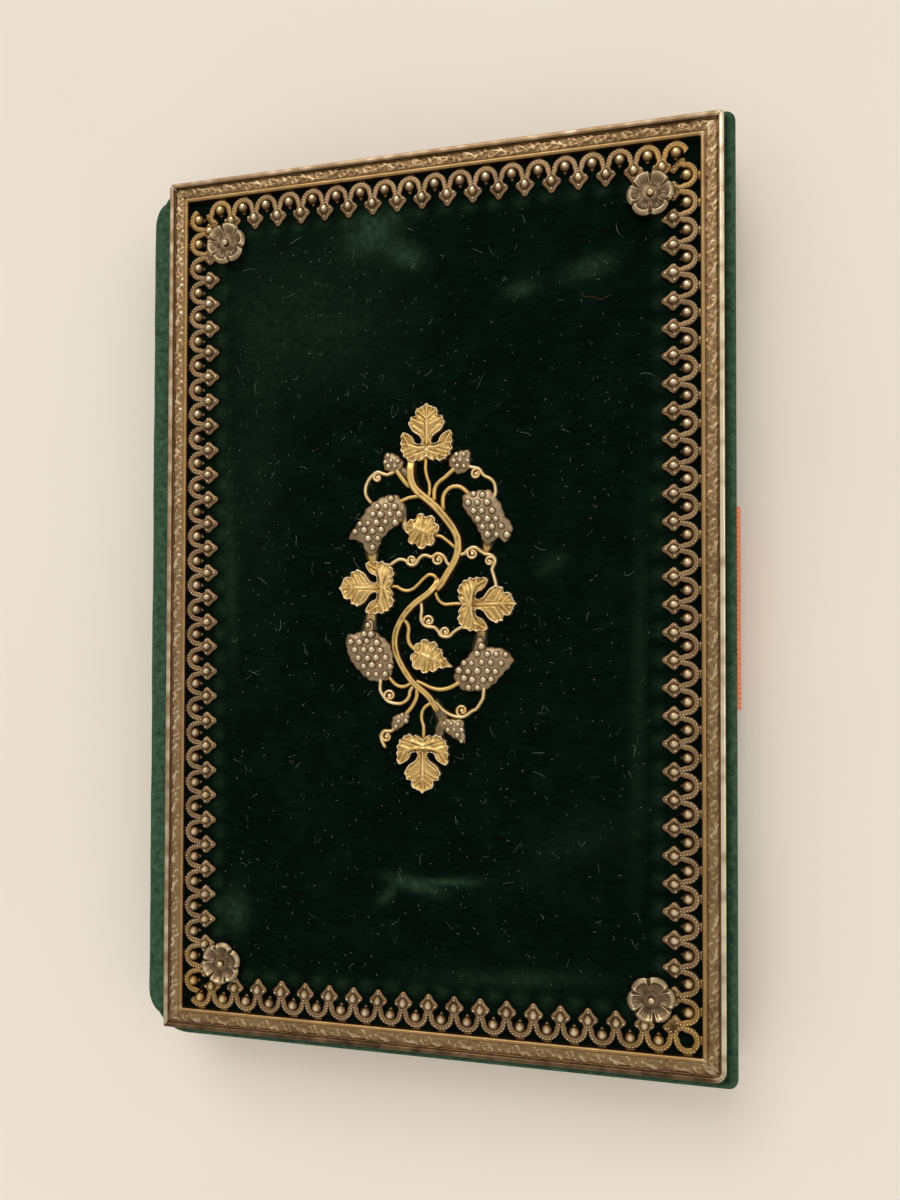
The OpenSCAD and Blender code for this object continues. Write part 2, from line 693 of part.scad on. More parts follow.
// True where a feature at u, w with radius r lies clear of the mitres and of a rosette
function clear_of_ends(l, other, u, w, r) =
  let (from_rosette = [l / 2 - abs(u) - rosette_inset - other, w - rosette_inset - rosette_shift + other])
  abs(u) + w + r < l / 2 - mitre_gap && norm(from_rosette) > rosette_r + r;

// One strip of the border, its outer edge along U; other shifts the rosette that it clears
module border_strip(l, first, other) {
  at = crowns(l, first);
  ends = [for (u = at) u - gallery_pitch / 2, at[len(at) - 1] + gallery_pitch / 2];
  intersection() {
    translate([l / 2, 0, 0])
      rotate([90, 0, -90])
        linear_extrude(l)
          mirror([1, 0])
            moulding_section();
    linear_extrude(band_h + 2 * outer_fillet_r)
      mitre_plan(l);
  }
  linear_extrude(plate_t)
    intersection() {
      gallery_plan(at);
      mitre_plan(l);
    }
  for (u = at)
    if (clear_of_ends(l, other, u, arch_w, arch_r)) {
      translate([u, arch_w, plate_t / 2])
        linear_extrude(plate_t / 2 + rim)
          intersection() {
            difference() {
              circle(arch_r - seam);
              circle(arch_r - seam - rim);
            }
            translate([-arch_r, -arch_r])
              square([2 * arch_r, arch_r + seam]);
          }
      translate([u, bead_w, max(plate_t, bead_r + seam)])
        sphere(bead_r);
    }
  for (u = ends)
    if (clear_of_ends(l, other, u, boss_w, boss_r))
      translate([u, boss_w, max(plate_t, boss_r + seam)])
        sphere(boss_r);
}

module border_top() {
  color(gilt_rose)
    translate([0, border_h / 2, z_top])
      rotate(180)
        border_strip(border_w, -crown_top, 0);
}

module border_bottom() {
  color(gilt_rose)
    translate([0, -border_h / 2, z_top])
      border_strip(border_w, crown_bottom, 0);
}

module border_left() {
  color(gilt_rose)
    translate([-border_w / 2, 0, z_top])
      rotate(-90)
        border_strip(border_h, -crown_left, rosette_shift);
}

module border_right() {
  color(gilt_rose)
    translate([border_w / 2, 0, z_top])
      rotate(90)
        border_strip(border_h, crown_right, rosette_shift);
}

// Flower of dished petals round a bead, standing on the gallery at each corner
module rosette(sx, sy, turn) {
  petal_r = rosette_r * 0.45;
  petal_at = rosette_r - petal_r;
  dish_r = petal_r * 1.4;
  color(silver_grey)
    translate([sx * rosette_x, sy * rosette_y, z_top + plate_t])
      rotate(turn) {
        difference() {
          linear_extrude(petal_h)
            for (k = [0:petals - 1])
              rotate(k * 360 / petals)
                translate([petal_at, 0])
                  circle(petal_r);
          for (k = [0:petals - 1])
            rotate(k * 360 / petals)
              translate([petal_at + petal_r * 0.1, 0, petal_h * 0.45 + dish_r])
                sphere(dish_r);
        }
        cylinder(r = petal_at * 0.75, h = petal_h * 0.6);
        translate([0, 0, bead_rise])
          sphere(rosette_bead_r);
        cylinder(r = rosette_bead_r * 0.9, h = bead_rise);
      }
}

module rosette_top_left() {
  rosette(-1, 1, 12);
}

module rosette_top_right() {
  rosette(1, 1, 0);
}

module rosette_bottom_left() {
  rosette(-1, -1, 20);
}

module rosette_bottom_right() {
  rosette(1, -1, 8);
}

// A pin with its head riveted over on the inside of the board
module pin(p, z1) {
  z0 = z_front + lining_t + pin_clear;
  translate([p[0], p[1], z0])
    cylinder(r = pin_r, h = z1 - z0);
  translate([p[0], p[1], z0])
    cylinder(r = pin_head_r, h = pin_head_t - pin_clear);
}

module rosette_pins() {
  color(silver_grey)
    for (sx = [-1, 1])
      for (sy = [-1, 1])
        pin([sx * rosette_x, sy * rosette_y], z_top + plate_t);
}

module vine_pins() {
  color(gilt_yellow)
    for (p = vine_pin_at)
      pin(p * vine_scale, z_top);
}

// Places the vine work on the velvet
module on_velvet() {
  translate([0, 0, z_top])
    children();
}

// Keeps what stands above the velvet
module cast_flat() {
  intersection() {
    union()
      children();
    translate([-vine_h / 2, -vine_h, 0])
      cube([vine_h, 2 * vine_h, vine_h]);
  }
}

// Rounded bar along a smooth path on the velvet, tapering from width w0 to w1
module bar(path, w0, w1, h, steps) {
  sides = 8;
  p = spline(path, steps) * vine_scale;
  n = len(p);
  rings = [
    for (i = [0:n - 1])
      let (a = (w0 + (w1 - w0) * i / (n - 1)) / 2, c = across(p, i))
      for (k = [0:sides - 1])
        let (t = 360 * (k + 0.5) / sides)
        [p[i][0] - c[0] * a * cos(t), p[i][1] - c[1] * a * cos(t), h * (sin(t) + bar_lift_ratio)]
  ];
  walls = [
    for (i = [0:n - 2])
      for (k = [0:sides - 1])
        let (a = i * sides + k, b = i * sides + (k + 1) % sides, c = a + sides, d = b + sides)
        each [[a, b, c], [b, d, c]]
  ];
  last = (n - 1) * sides;
  caps = [for (k = [1:sides - 2]) each [[0, k + 1, k], [last, last + k, last + k + 1]]];
  polyhedron(points = rings, faces = concat(walls, caps));
}

// Points of one curl, wound inwards
function curl_path(c) = [
  for (i = [0:curl_steps])
    let (
      t = i / curl_steps,
      r = c[2] * (curl_start_ratio - curl_drop_ratio * t),
      a = c[3] + c[4] * 360 * curl_turns * t
    )
    [c[0] + r * cos(a), c[1] + r * sin(a)]
];

// Small rounded button, domed by joining two discs
module button(p, r, h) {
  translate([p[0] * vine_scale, p[1] * vine_scale, -h])
    hull() {
      cylinder(r = r, h = h * 1.6, $fn = 8);
      cylinder(r = r * 0.5, h = h * 2, $fn = 8);
    }
}

// Sloping web between two round ends
module web(w) {
  hull()
    for (k = [0, 1])
      let (r = w[2 + k] * vine_scale)
      translate([w[k][0] * vine_scale, w[k][1] * vine_scale, -stalk_h])
        cylinder(r1 = r * 1.4, r2 = r * 0.6, h = 2 * stalk_h, $fn = 12);
}

module vine_stem() {
  color(gilt_yellow)
    on_velvet()
      cast_flat() {
        bar(stem_upper, stem_w * stem_upper_share[0], stem_w * stem_upper_share[1], stem_h, 2);
        bar(stem_lower, stem_w * stem_lower_share[0], stem_w * stem_lower_share[1], stem_h, 2);
        for (i = [0:len(stalks) - 1])
          bar(stalks[i], stalk_w * stalk_share[i], stalk_w * stalk_share[i], stalk_h, 2);
        for (w = webs)
          web(w);
      }
}

module vine_tendrils() {
  color(gilt_yellow)
    on_velvet()
      cast_flat() {
        for (t = tendrils)
          bar(t, tendril_w, tendril_w, stalk_h, 2);
        for (c = curls) {
          bar(curl_path(c), tendril_w * 0.9, tendril_w * 0.5, stalk_h * 0.9, 1);
          button([c[0], c[1]], c[2] * vine_scale * 0.4, stalk_h * 1.15);
        }
      }
}

// Pillowed leaf: its edge stands on the velvet, and its lobes rise between sunk veins
module leaf(half, veins, at, turn) {
  outline = concat(half, [for (i = [len(half) - 2:-1:1]) [-half[i][0], half[i][1], half[i][2]]]);
  n = len(outline);
  s = [for (i = [0:n - 1]) let (v = veins[outline[i][2]]) [i < len(half) ? v[0] : -v[0], v[1]]];
  o = [for (q = outline) [q[0], q[1]]];
  steps = [[1, 0], [0, 0], [0, leaf_edge_t], [0.3, leaf_h * 0.85], [0.62, leaf_h], [1, leaf_h * 0.8]];
  points = [
    for (q = steps)
      for (i = [0:n - 1])
        let (p = (o[i] * (1 - q[0]) + s[i] * q[0]) * vine_scale)
        [p[0], p[1], q[1]]
  ];
  skirt = [
    for (k = [0:len(steps) - 2])
      for (i = [0:n - 1])
        let (j = (i + 1) % n, a = k * n + i, b = k * n + j, c = a + n, d = b + n)
        each concat(
          k > 0 || s[i] != s[j] ? [[a, b, c]] : [],
          k < len(steps) - 2 || s[i] != s[j] ? [[b, d, c]] : []
        )
  ];
  color(gilt_yellow)
    on_velvet()
      translate([at[0] * vine_scale, at[1] * vine_scale, 0])
        rotate(turn - 90)
          polyhedron(points = points, faces = [for (f = skirt) [f[2], f[1], f[0]]]);
}

module leaf_top() {
  leaf(large_half, large_veins, [0.05, 17.5], 90);
}

module leaf_bottom() {
  leaf(large_half, large_veins, [-0.35, -17.5], -90);
}

module leaf_left() {
  leaf(large_half, large_veins, [-4.3, 1.4], 180);
}

module leaf_right() {
  leaf(large_half, large_veins, [4.3, -0.95], 0);
}

module leaf_small_upper() {
  leaf(round_half, round_veins, [1.4, 7.8], 159);
}

module leaf_small_lower() {
  leaf(heart_half, heart_veins, [-1.7, -6.8], -21);
}

// Bunch of round fruit, heaped towards the middle of its outline
module bunch(outline, r) {
  p = outline * vine_scale;
  c = middle(p);
  reach = max([for (q = p) norm(q - c)]);
  color(silver_grey)
    on_velvet() {
      linear_extrude(bunch_plate_t)
        polygon(p);
      for (q = lattice(p, 2.2 * r))
        let (d = norm(q - c) / reach)
        translate([q[0], q[1], max(bunch_plate_t + r * (0.75 - 0.8 * d * d), r + seam)])
          sphere(r);
    }
}

module grapes_upper_left() {
  bunch(bunch_upper_left, grape_r);
}

module grapes_upper_right() {
  bunch(bunch_upper_right, grape_r);
}

module grapes_lower_left() {
  bunch(bunch_lower_left, grape_r);
}

module grapes_lower_right() {
  bunch(bunch_lower_right, grape_r);
}

module berries_top_left() {
  bunch(bunch_top_left, berry_r);
}

module berries_top_right() {
  bunch(bunch_top_right, berry_r);
}

module berries_bottom_left() {
  bunch(bunch_bottom_left, berry_r);
}

module berries_bottom_right() {
  bunch(bunch_bottom_right, berry_r);
}

module memo_card() {
  color(paper_cream)
    translate([memo_x - memo_w / 2, memo_y - memo_l / 2, z_card])
      cube([memo_w, memo_l - silk_t, card_t]);
}

module memo_leaves() {
  color(paper_cream)
    translate([memo_x - memo_w / 2 + leaves_inset, memo_y - memo_l / 2 + 2 * leaves_inset, z_leaves])
      cube([memo_w - 2 * leaves_inset, memo_l - 2 * leaves_inset - silk_t, leaves_t]);
}

// Silk strip folded over the head of the card and leaves
module memo_binding() {
  y1 = memo_y + memo_l / 2;
  z0 = cover_t + pocket_clear / 4;
  color(silk_coral)
    difference() {
      translate([memo_x - memo_w / 2, y1 - binding_l, z0])
        cube([memo_w, binding_l, z_leaves + leaves_t + silk_t / 2 - z0]);
      for (layer = [[z_card, card_t], [z_leaves, leaves_t]])
        translate([memo_x - memo_w, y1 - 2 * binding_l, layer[0]])
          cube([2 * memo_w, 2 * binding_l - silk_t, layer[1]]);
    }
}

// Turned round the pencil's own axis, point towards the tail
module turned_pencil() {
  translate([pencil_x, pencil_y, loop_z])
    rotate([-90, 0, 0])
      rotate_extrude()
        children();
}

module pencil_barrel() {
  y0 = point_l - cone_l;
  y1 = pencil_l - cap_l;
  y2 = point_l + lead_seat;
  tip_r = lead_r + 0.3;
  shoulder = 0.2;
  color(silver_grey)
    turned_pencil()
      polygon([
        [lead_r, y0], [tip_r, y0], [pencil_r - shoulder, point_l], [pencil_r, point_l + 3 * shoulder],
        [pencil_r, y1], [0, y1], [0, y2], [lead_r, y2]
      ]);
}

module pencil_lead() {
  r = lead_r - pin_clear;
  y2 = point_l + lead_seat;
  color(lead_grey)
    turned_pencil()
      polygon([[0, 0], [r, lead_point], [r, y2], [0, y2]]);
}

// Turned finial: its profile in shares of the pencil's radius and of the cap's length
module pencil_cap() {
  profile = [
    [0, 0], [1, 0], [1, 0.17], [0.6, 0.27], [0.85, 0.43], [0.5, 0.57], [0.62, 0.77], [0.3, 0.93], [0, 1]
  ];
  color(gilt_yellow)
    turned_pencil()
      polygon([for (q = profile) [q[0] * pencil_r, pencil_l - cap_l + q[1] * cap_l]]);
}

back_board();
back_velvet();
back_lining();
back_pocket();
pencil_loop();
spine_velvet();
spine_inlay();
spine_lining();
front_board();
front_velvet();
front_lining();
front_pocket();
border_top();
border_bottom();
border_left();
border_right();
rosette_top_left();
rosette_top_right();
rosette_bottom_left();
rosette_bottom_right();
rosette_pins();
vine_stem();
vine_tendrils();
leaf_top();
leaf_bottom();
leaf_left();
leaf_right();
leaf_small_upper();
leaf_small_lower();
grapes_upper_left();
grapes_upper_right();
grapes_lower_left();
grapes_lower_right();
berries_top_left();
berries_top_right();
berries_bottom_left();
berries_bottom_right();
vine_pins();
memo_leaves();
memo_card();
memo_binding();
pencil_barrel();
pencil_lead();
pencil_cap();
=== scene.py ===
"""Looks of the aide memoire case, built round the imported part.

Lengths are in millimetres until a mesh is put into the scene, where they become metres. X runs to the
fore-edge, Y to the head and Z up out of the decorated front cover.
"""
import logging
from collections.abc import Iterator, Sequence
from dataclasses import dataclass
from enum import Enum
from functools import cache

import bpy
import numpy as np
from mathutils import Matrix, Vector


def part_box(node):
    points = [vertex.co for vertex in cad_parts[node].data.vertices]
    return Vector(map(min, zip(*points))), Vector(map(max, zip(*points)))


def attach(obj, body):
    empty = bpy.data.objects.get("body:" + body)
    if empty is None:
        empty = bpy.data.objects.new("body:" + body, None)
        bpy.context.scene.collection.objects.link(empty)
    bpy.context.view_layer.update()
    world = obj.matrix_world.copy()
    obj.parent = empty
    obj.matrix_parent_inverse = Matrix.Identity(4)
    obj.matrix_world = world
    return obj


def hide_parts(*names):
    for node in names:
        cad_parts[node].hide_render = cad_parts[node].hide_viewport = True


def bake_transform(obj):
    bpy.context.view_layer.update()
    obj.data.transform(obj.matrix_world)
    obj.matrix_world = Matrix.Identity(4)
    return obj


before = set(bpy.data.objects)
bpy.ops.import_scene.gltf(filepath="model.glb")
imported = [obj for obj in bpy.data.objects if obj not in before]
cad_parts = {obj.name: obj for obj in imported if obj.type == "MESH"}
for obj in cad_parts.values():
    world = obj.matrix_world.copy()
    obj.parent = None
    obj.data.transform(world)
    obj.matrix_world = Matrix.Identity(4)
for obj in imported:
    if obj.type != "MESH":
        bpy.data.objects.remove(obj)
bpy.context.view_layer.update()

Array = np.ndarray
Material = bpy.types.Material
Tree = bpy.types.NodeTree
Node = bpy.types.Node
Points = Sequence[Sequence[float]]
Pairs = tuple[tuple[float, float], ...]
MM = 0.001
# What makes a Mix node mix colours, and the numbers of its sockets then
COLOURS = {"data_type": "RGBA"}
SHARE, FIRST, SECOND = 0, 6, 7
log = logging.getLogger("aide_memoire_case")


class Body(Enum):
    """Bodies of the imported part."""

    BACK = "back_cover"
    SPINE = "spine"
    FRONT = "front_cover"
    MEMO = "memo"
    PENCIL = "pencil"


class Cover(Enum):
    """The two covers: the word in the names of their pieces, and their body."""

    FRONT = ("front", Body.FRONT)
    BACK = ("back", Body.BACK)


@dataclass
class Surface:
    """A mesh in millimetres.

    wear runs from 0 in a recess to 1 on a rubbed height, and in places also carries painted light; second is
    the share of a finish's other tone.
    """

    points: Array
    faces: list[Array]
    wear: Array
    second: Array | None = None

    def moved(self, turn: float, at: Sequence[float]) -> "Surface":
        """Turn it about Z by degrees, then move it."""
        a = np.radians(turn)
        turning = np.array([[np.cos(a), np.sin(a), 0], [-np.sin(a), np.cos(a), 0], [0, 0, 1]])
        return Surface(self.points @ turning + np.asarray(at), self.faces, self.wear, self.second)


def faced_out(surface: Surface) -> Surface:
    """Turn the faces outwards: fans of triangles from the middle have to add up to a positive volume."""
    middle = surface.points.mean(0)
    volume = 0.0
    for group in surface.faces:
        corners = surface.points[group] - middle
        for k in range(1, group.shape[1] - 1):
            volume += np.sum(corners[:, 0] * np.cross(corners[:, k], corners[:, k + 1]))
    if volume < 0:
        surface.faces = [group[:, ::-1] for group in surface.faces]
    return surface


def grid_faces(rows: int, cols: int, wrap: bool = False) -> Array:
    """Quads of a grid stored row by row; wrap joins its last column to the first."""
    r = np.arange(rows - 1)[:, None] * cols
    c = np.arange(cols if wrap else cols - 1)[None, :]
    n = (c + 1) % cols
    return np.stack([r + c, r + n, r + cols + n, r + cols + c], -1).reshape(-1, 4)


def loft(points: Array, wear: Array | float, wrap: bool = True, caps: str = "both") -> Surface:
    """Skin rows of points.

    Args:
        points: Rows by columns by 3.
        wear: A value, or one that broadcasts to rows by columns.
        wrap: Whether each row is a closed ring.
        caps: Which end rows are closed by a face: "both", "first" or "none".

    Returns:
        The surface, facing outwards.
    """
    rows, cols = points.shape[:2]
    faces = [grid_faces(rows, cols, wrap)]
    if caps != "none":
        faces.append(np.arange(cols)[None, ::-1])
    if caps == "both":
        faces.append(np.arange(cols)[None] + (rows - 1) * cols)
    worn = np.broadcast_to(np.asarray(wear, float), (rows, cols)).reshape(-1)
    return faced_out(Surface(points.reshape(-1, 3), faces, worn))


def cloth(points: Array, wear: Array | float) -> Surface:
    """Skin an open grid of points, facing outwards."""
    return loft(points, wear, wrap=False, caps="none")


def joined(parts: Sequence[Surface]) -> Surface:
    """Put several surfaces into one mesh."""
    starts = np.cumsum([0] + [len(part.points) for part in parts])
    faces = [group + start for part, start in zip(parts, starts) for group in part.faces]
    points = np.concatenate([part.points for part in parts])
    return Surface(points, faces, np.concatenate([part.wear for part in parts]))


def trimmed(surface: Surface, keep: Array) -> Surface:
    """Keep the faces that have a point marked in keep, and only the points that they use."""
    faces = [group[keep[group].any(1)] for group in surface.faces]
    used = np.unique(np.concatenate([group.ravel() for group in faces]))
    place = np.zeros(len(surface.points), int)
    place[used] = np.arange(len(used))
    return Surface(surface.points[used], [place[group] for group in faces], surface.wear[used])


def repeated(
    part: Surface, places: Array, sizes: Array | None = None, turns: Array | None = None
) -> Surface:
    """Copy a surface to many places as whole arrays.

    Args:
        part: The surface, round its own origin.
        places: One point per copy.
        sizes: A scale per copy.
        turns: Degrees about Z per copy.

    Returns:
        All copies in one surface.
    """
    n = len(places)
    sizes = np.ones(n) if sizes is None else np.asarray(sizes, float)
    a = np.zeros(n) if turns is None else np.radians(turns)
    p = part.points[None] * sizes[:, None, None]
    cos, sin = np.cos(a)[:, None], np.sin(a)[:, None]
    spun = np.stack([p[..., 0] * cos - p[..., 1] * sin, p[..., 0] * sin + p[..., 1] * cos, p[..., 2]], -1)
    step = np.arange(n)[:, None, None] * len(part.points)
    faces = [(group[None] + step).reshape(-1, group.shape[1]) for group in part.faces]
    points = (spun + np.asarray(places, float)[:, None]).reshape(-1, 3)
    return Surface(points, faces, np.tile(part.wear, n))


def spline(points: Points, steps: int, closed: bool = False) -> Array:
    """Catmull-Rom curve through points: each span is the cubic set by its two ends and their neighbours."""
    p = np.asarray(points, float)
    if closed:
        a, b, c, d = np.roll(p, 1, 0), p, np.roll(p, -1, 0), np.roll(p, -2, 0)
    else:
        q = np.concatenate([p[:1], p, p[-1:]])
        a, b, c, d = q[:-3], q[1:-2], q[2:-1], q[3:]
    t = (np.arange(steps) / steps)[None, :, None]
    a, b, c, d = (v[:, None] for v in (a, b, c, d))
    cubic = 2 * b + (c - a) * t + (2 * a - 5 * b + 4 * c - d) * t**2 + (3 * b - a - 3 * c + d) * t**3
    curve = 0.5 * cubic.reshape(-1, p.shape[1])
    return curve if closed else np.concatenate([curve, p[-1:]])


def run_along(path: Array) -> Array:
    """Distance along a path at each of its points."""
    return np.concatenate([[0], np.cumsum(np.linalg.norm(np.diff(path, axis=0), axis=1))])


def circle(a: Array) -> Array:
    """Points of the unit circle at these angles."""
    return np.stack([np.cos(a), np.sin(a)], -1)


def points_at(at: Array, run: Array, path: Array) -> Array:
    """Points of a path at these distances, where run gives the distance of each of its own points."""
    return np.stack([np.interp(at, run, column) for column in path.T], -1)


def square_to(path: Array) -> Array:
    """Unit vectors square to a path in a plane, to its left, one per point."""
    ahead = np.gradient(path, axis=0)
    ahead /= np.linalg.norm(ahead, axis=1, keepdims=True)
    return np.stack([-ahead[:, 1], ahead[:, 0]], -1)


def lifted(plan: Array, height: Array | float) -> Array:
    """Points of a plan, each with its height as the last coordinate."""
    return np.concatenate([plan, np.broadcast_to(height, plan.shape[:-1])[..., None]], -1)


def smooth(x: Array, low: float, high: float) -> Array:
    """Rise from 0 at low to 1 at high by 3t^2 - 2t^3."""
    t = np.clip((x - low) / (high - low), 0, 1)
    return t * t * (3 - 2 * t)


def hump(x: Array, middle: float, width: float) -> Array:
    """Bell curve of height 1."""
    return np.exp(-(((x - middle) / width) ** 2))


def dome(
    radius: float, below: float, sides: int, rings: int, wear: tuple[float, float] = (0.35, 1.0)
) -> Surface:
    """Round knob about the origin: a sphere cut off at an angle below its middle, in degrees."""
    a = np.radians(np.linspace(-below, 88, rings))[:, None]
    b = np.linspace(0, 2 * np.pi, sides, endpoint=False)[None]
    points = radius * lifted(np.cos(a)[..., None] * circle(b), np.sin(a))
    return loft(points, wear[0] + (wear[1] - wear[0]) * smooth(np.sin(a), -0.3, 0.8))


def knob(size: Sequence[float], wear: tuple[float, float], bare: float, sides: int = 12) -> Surface:
    """Oval dome with these half sizes in X, Y and Z, rubbed only above a share of its height."""
    part = dome(1.0, below=18, sides=sides, rings=8)
    part.wear = wear[0] + (wear[1] - wear[0]) * smooth(part.points[:, 2], bare, 1)
    part.points = part.points * size
    return part


def stitch(size: Sequence[float]) -> Surface:
    """One stitch of sewing thread with these half sizes along, across and up."""
    part = dome(1.0, below=80, sides=6, rings=5)
    part.points = part.points * size
    return part


def turned_work(profile: Points, sides: int, wear: float = 0.6) -> Surface:
    """Lathe work: radius and place along Y, turned about the Y axis."""
    p = np.asarray(profile, float)
    b = np.linspace(0, 2 * np.pi, sides, endpoint=False)[None]
    x, z = p[:, :1] * np.cos(b), p[:, :1] * np.sin(b)
    return loft(np.stack([x, np.broadcast_to(p[:, 1:], x.shape), z], -1), wear)


def flat_bar(path: Array, width: Array, height: Array, groove: float = 0.0, sides: int = 12) -> Surface:
    """Half-round bar that lies along a path on the velvet.

    Its section is half an ellipse, width by height, with three shallow flutes; both ends close in a
    quarter round. Streaks that wander along the bar make its wear uneven.

    Args:
        path: Points in X and Y.
        width: Full width, a value or one per point.
        height: Height, a value or one per point.
        groove: Depth of the flutes as a share of the section.
        sides: Points of the section.

    Returns:
        The bar, standing on Z = 0.
    """
    run = run_along(path)
    width, height = np.broadcast_to(width, run.shape), np.broadcast_to(height, run.shape)
    from_end = np.minimum(run, run[-1] - run) / (0.6 * width)
    close = np.sqrt(1 - (1 - np.clip(from_end, 0.04, 1)) ** 2)
    a = np.radians(np.linspace(0, 360, sides, endpoint=False))
    flute = 1 - groove * (1 + np.cos(6 * (a - np.pi / 2))) / 2
    half = (close * width / 2)[:, None] * (np.cos(a) * flute)
    rise = (close * height)[:, None] * np.where(np.sin(a) >= 0, np.sin(a) * flute, 0.1 * np.sin(a))
    plan = path[:, None] + half[..., None] * square_to(path)[:, None]
    streak = np.sin(2.3 * run + 3 * np.sin(0.9 * run))[:, None] * np.cos(4 * a)
    worn = 0.15 + 0.75 * smooth(np.sin(a), 0.1, 1) - 2 * (1 - flute) + groove * streak
    return loft(lifted(plan, rise), worn)


@dataclass(frozen=True)
class EdgeFall:
    """How cloth falls over a board's edge: distance run from the flat's edge, distance out, and fall."""

    run: Array
    out: Array
    fall: Array
    inset: float

    @classmethod
    def over(cls, radius: float, depth: float, lip: float, turn_in: float) -> "EdgeFall":
        """Make a quarter round, a straight side, a smaller quarter round back in, and a flat turn-in.

        Args:
            radius: Of the outer round, which starts that far inside the plan.
            depth: Whole fall.
            lip: Radius of the round at the bottom.
            turn_in: Length of the flat that turns in.

        Returns:
            The fall.
        """
        a = np.linspace(0, np.pi / 2, 9)
        out = np.concatenate([radius * np.sin(a), radius - lip * (1 - np.cos(a)), [radius - lip - turn_in]])
        fall = np.concatenate([radius * (1 - np.cos(a)), depth - lip + lip * np.sin(a), [depth]])
        return cls(run_along(np.stack([out, fall], -1)), out, fall, radius)


def graded(low: float, high: float, band: float, fine: float, coarse: float) -> Array:
    """Values from low to high, closer together within band of both ends."""
    near = np.linspace(0, band, max(2, round(band / fine) + 1))
    middle = np.linspace(low + band, high - band, max(2, round((high - low - 2 * band) / coarse) + 1))
    return np.concatenate([low + near[:-1], middle, high - near[-2::-1]])


@dataclass(frozen=True)
class CoverPlan:
    """A rectangle with round corners, larger at the spine side than at the fore-edge."""

    x0: float
    x1: float
    y0: float
    y1: float
    spine_r: float
    fore_r: float

    def drawn_in(self, d: float) -> "CoverPlan":
        """The plan with every side moved in by d."""
        corners = max(self.spine_r - d, 0.4), max(self.fore_r - d, 0.4)
        return CoverPlan(self.x0 + d, self.x1 - d, self.y0 + d, self.y1 - d, *corners)

    def skin(
        self, fall: EdgeFall, fine: float, coarse: float, mouth: float | None = None
    ) -> tuple[Array, Array]:
        """Lay one grid of cloth over the plan and down its edges.

        The grid is square. In a corner a point that lies dx and dy past the corner's centre goes to the
        radius max(dx, dy), at 45 degrees times 1 - (dx - dy) / max(dx, dy), so squares become arcs. Distances
        past the flat's edge follow the fall.

        Args:
            fall: Section of the edges.
            fine: Grid step near the edges.
            coarse: Grid step in the middle.
            mouth: Where a pocket stays open: the cloth ends at this Y, without a fall.

        Returns:
            Points with Z = minus the fall, and the distance run past the flat's edge.
        """
        reach = fall.run[-1] - fall.inset
        gx = graded(self.x0 - reach, self.x1 + reach, reach + self.fore_r + 1.5, fine, coarse)
        gy = graded(self.y0 - reach, self.y1 + reach, reach + self.fore_r + 1.5, fine, coarse)
        if mouth is not None:
            gy = np.append(gy[gy < mouth - fine / 2], mouth)
        x, y = np.meshgrid(gx, gy)
        spine_side = x < (self.x0 + self.x1) / 2
        tail_side = y < (self.y0 + self.y1) / 2
        r = np.where(spine_side, self.spine_r, self.fore_r)
        sx, sy = np.where(spine_side, -1, 1), np.where(tail_side, -1, 1)
        cx = np.where(spine_side, self.x0 + r, self.x1 - r)
        cy = np.where(tail_side, self.y0 + r, self.y1 - r)
        dx, dy = sx * (x - cx), sy * (y - cy)
        corner = (dx > 0) & (dy > 0)
        m = np.where(corner, np.maximum(dx, dy), 0)
        a = np.pi / 4 * (1 - np.where(corner, dx - dy, 0) / np.where(m > 0, m, 1))
        past = np.where(corner, m, np.maximum(dx, dy)) - (r - fall.inset)
        out = np.interp(past, fall.run, fall.out)
        radius = np.where(past > 0, r - fall.inset + out, np.where(corner, m, 0))
        over_x, over_y = (dx > dy) & (past > 0), (dy >= dx) & (past > 0)
        px = np.where(corner, cx + sx * radius * np.cos(a), np.where(over_x, cx + sx * radius, x))
        py = np.where(corner, cy + sy * radius * np.sin(a), np.where(over_y, cy + sy * radius, y))
        return np.stack([px, py, -np.interp(past, fall.run, fall.fall)], -1), past


def cad_mm(node: str) -> tuple[Array, Array]:
    """Lowest and highest corner of a CAD node in millimetres."""
    low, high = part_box(node)
    return np.array(low) / MM, np.array(high) / MM


def linear(hex_code: str) -> tuple[float, float, float, float]:
    """Linear colour of an sRGB hex value."""
    c = np.array([int(hex_code[k : k + 2], 16) for k in (1, 3, 5)]) / 255
    return (*np.where(c <= 0.04045, c / 12.92, ((c + 0.055) / 1.055) ** 2.4).tolist(), 1.0)


def wire(tree: Tree, node: Node, links: dict) -> None:
    """Link to a node's inputs, by name or number; a node as the source gives its first output in use."""
    for key, source in links.items():
        if isinstance(source, Node):
            source = next(socket for socket in source.outputs if socket.enabled)
        tree.links.new(source, node.inputs[key])


def add(tree: Tree, kind: str, settings: dict | None = None, links: dict | None = None) -> Node:
    """Add a node.

    Args:
        tree: The node tree.
        kind: Type of the node, without the word that every shader node's type starts with.
        settings: Values for its properties or input sockets, by name or number.
        links: Nodes or output sockets to link to its input sockets, by name or number.

    Returns:
        The node.
    """
    node = tree.nodes.new("ShaderNode" + kind)
    for key, value in (settings or {}).items():
        if isinstance(key, str) and hasattr(node, key):
            setattr(node, key, value)
        else:
            node.inputs[key].default_value = value
    wire(tree, node, links or {})
    return node


def per_mm(size: float) -> float:
    """Scale of a noise texture whose features are about this many millimetres."""
    return 1 / (size * MM)


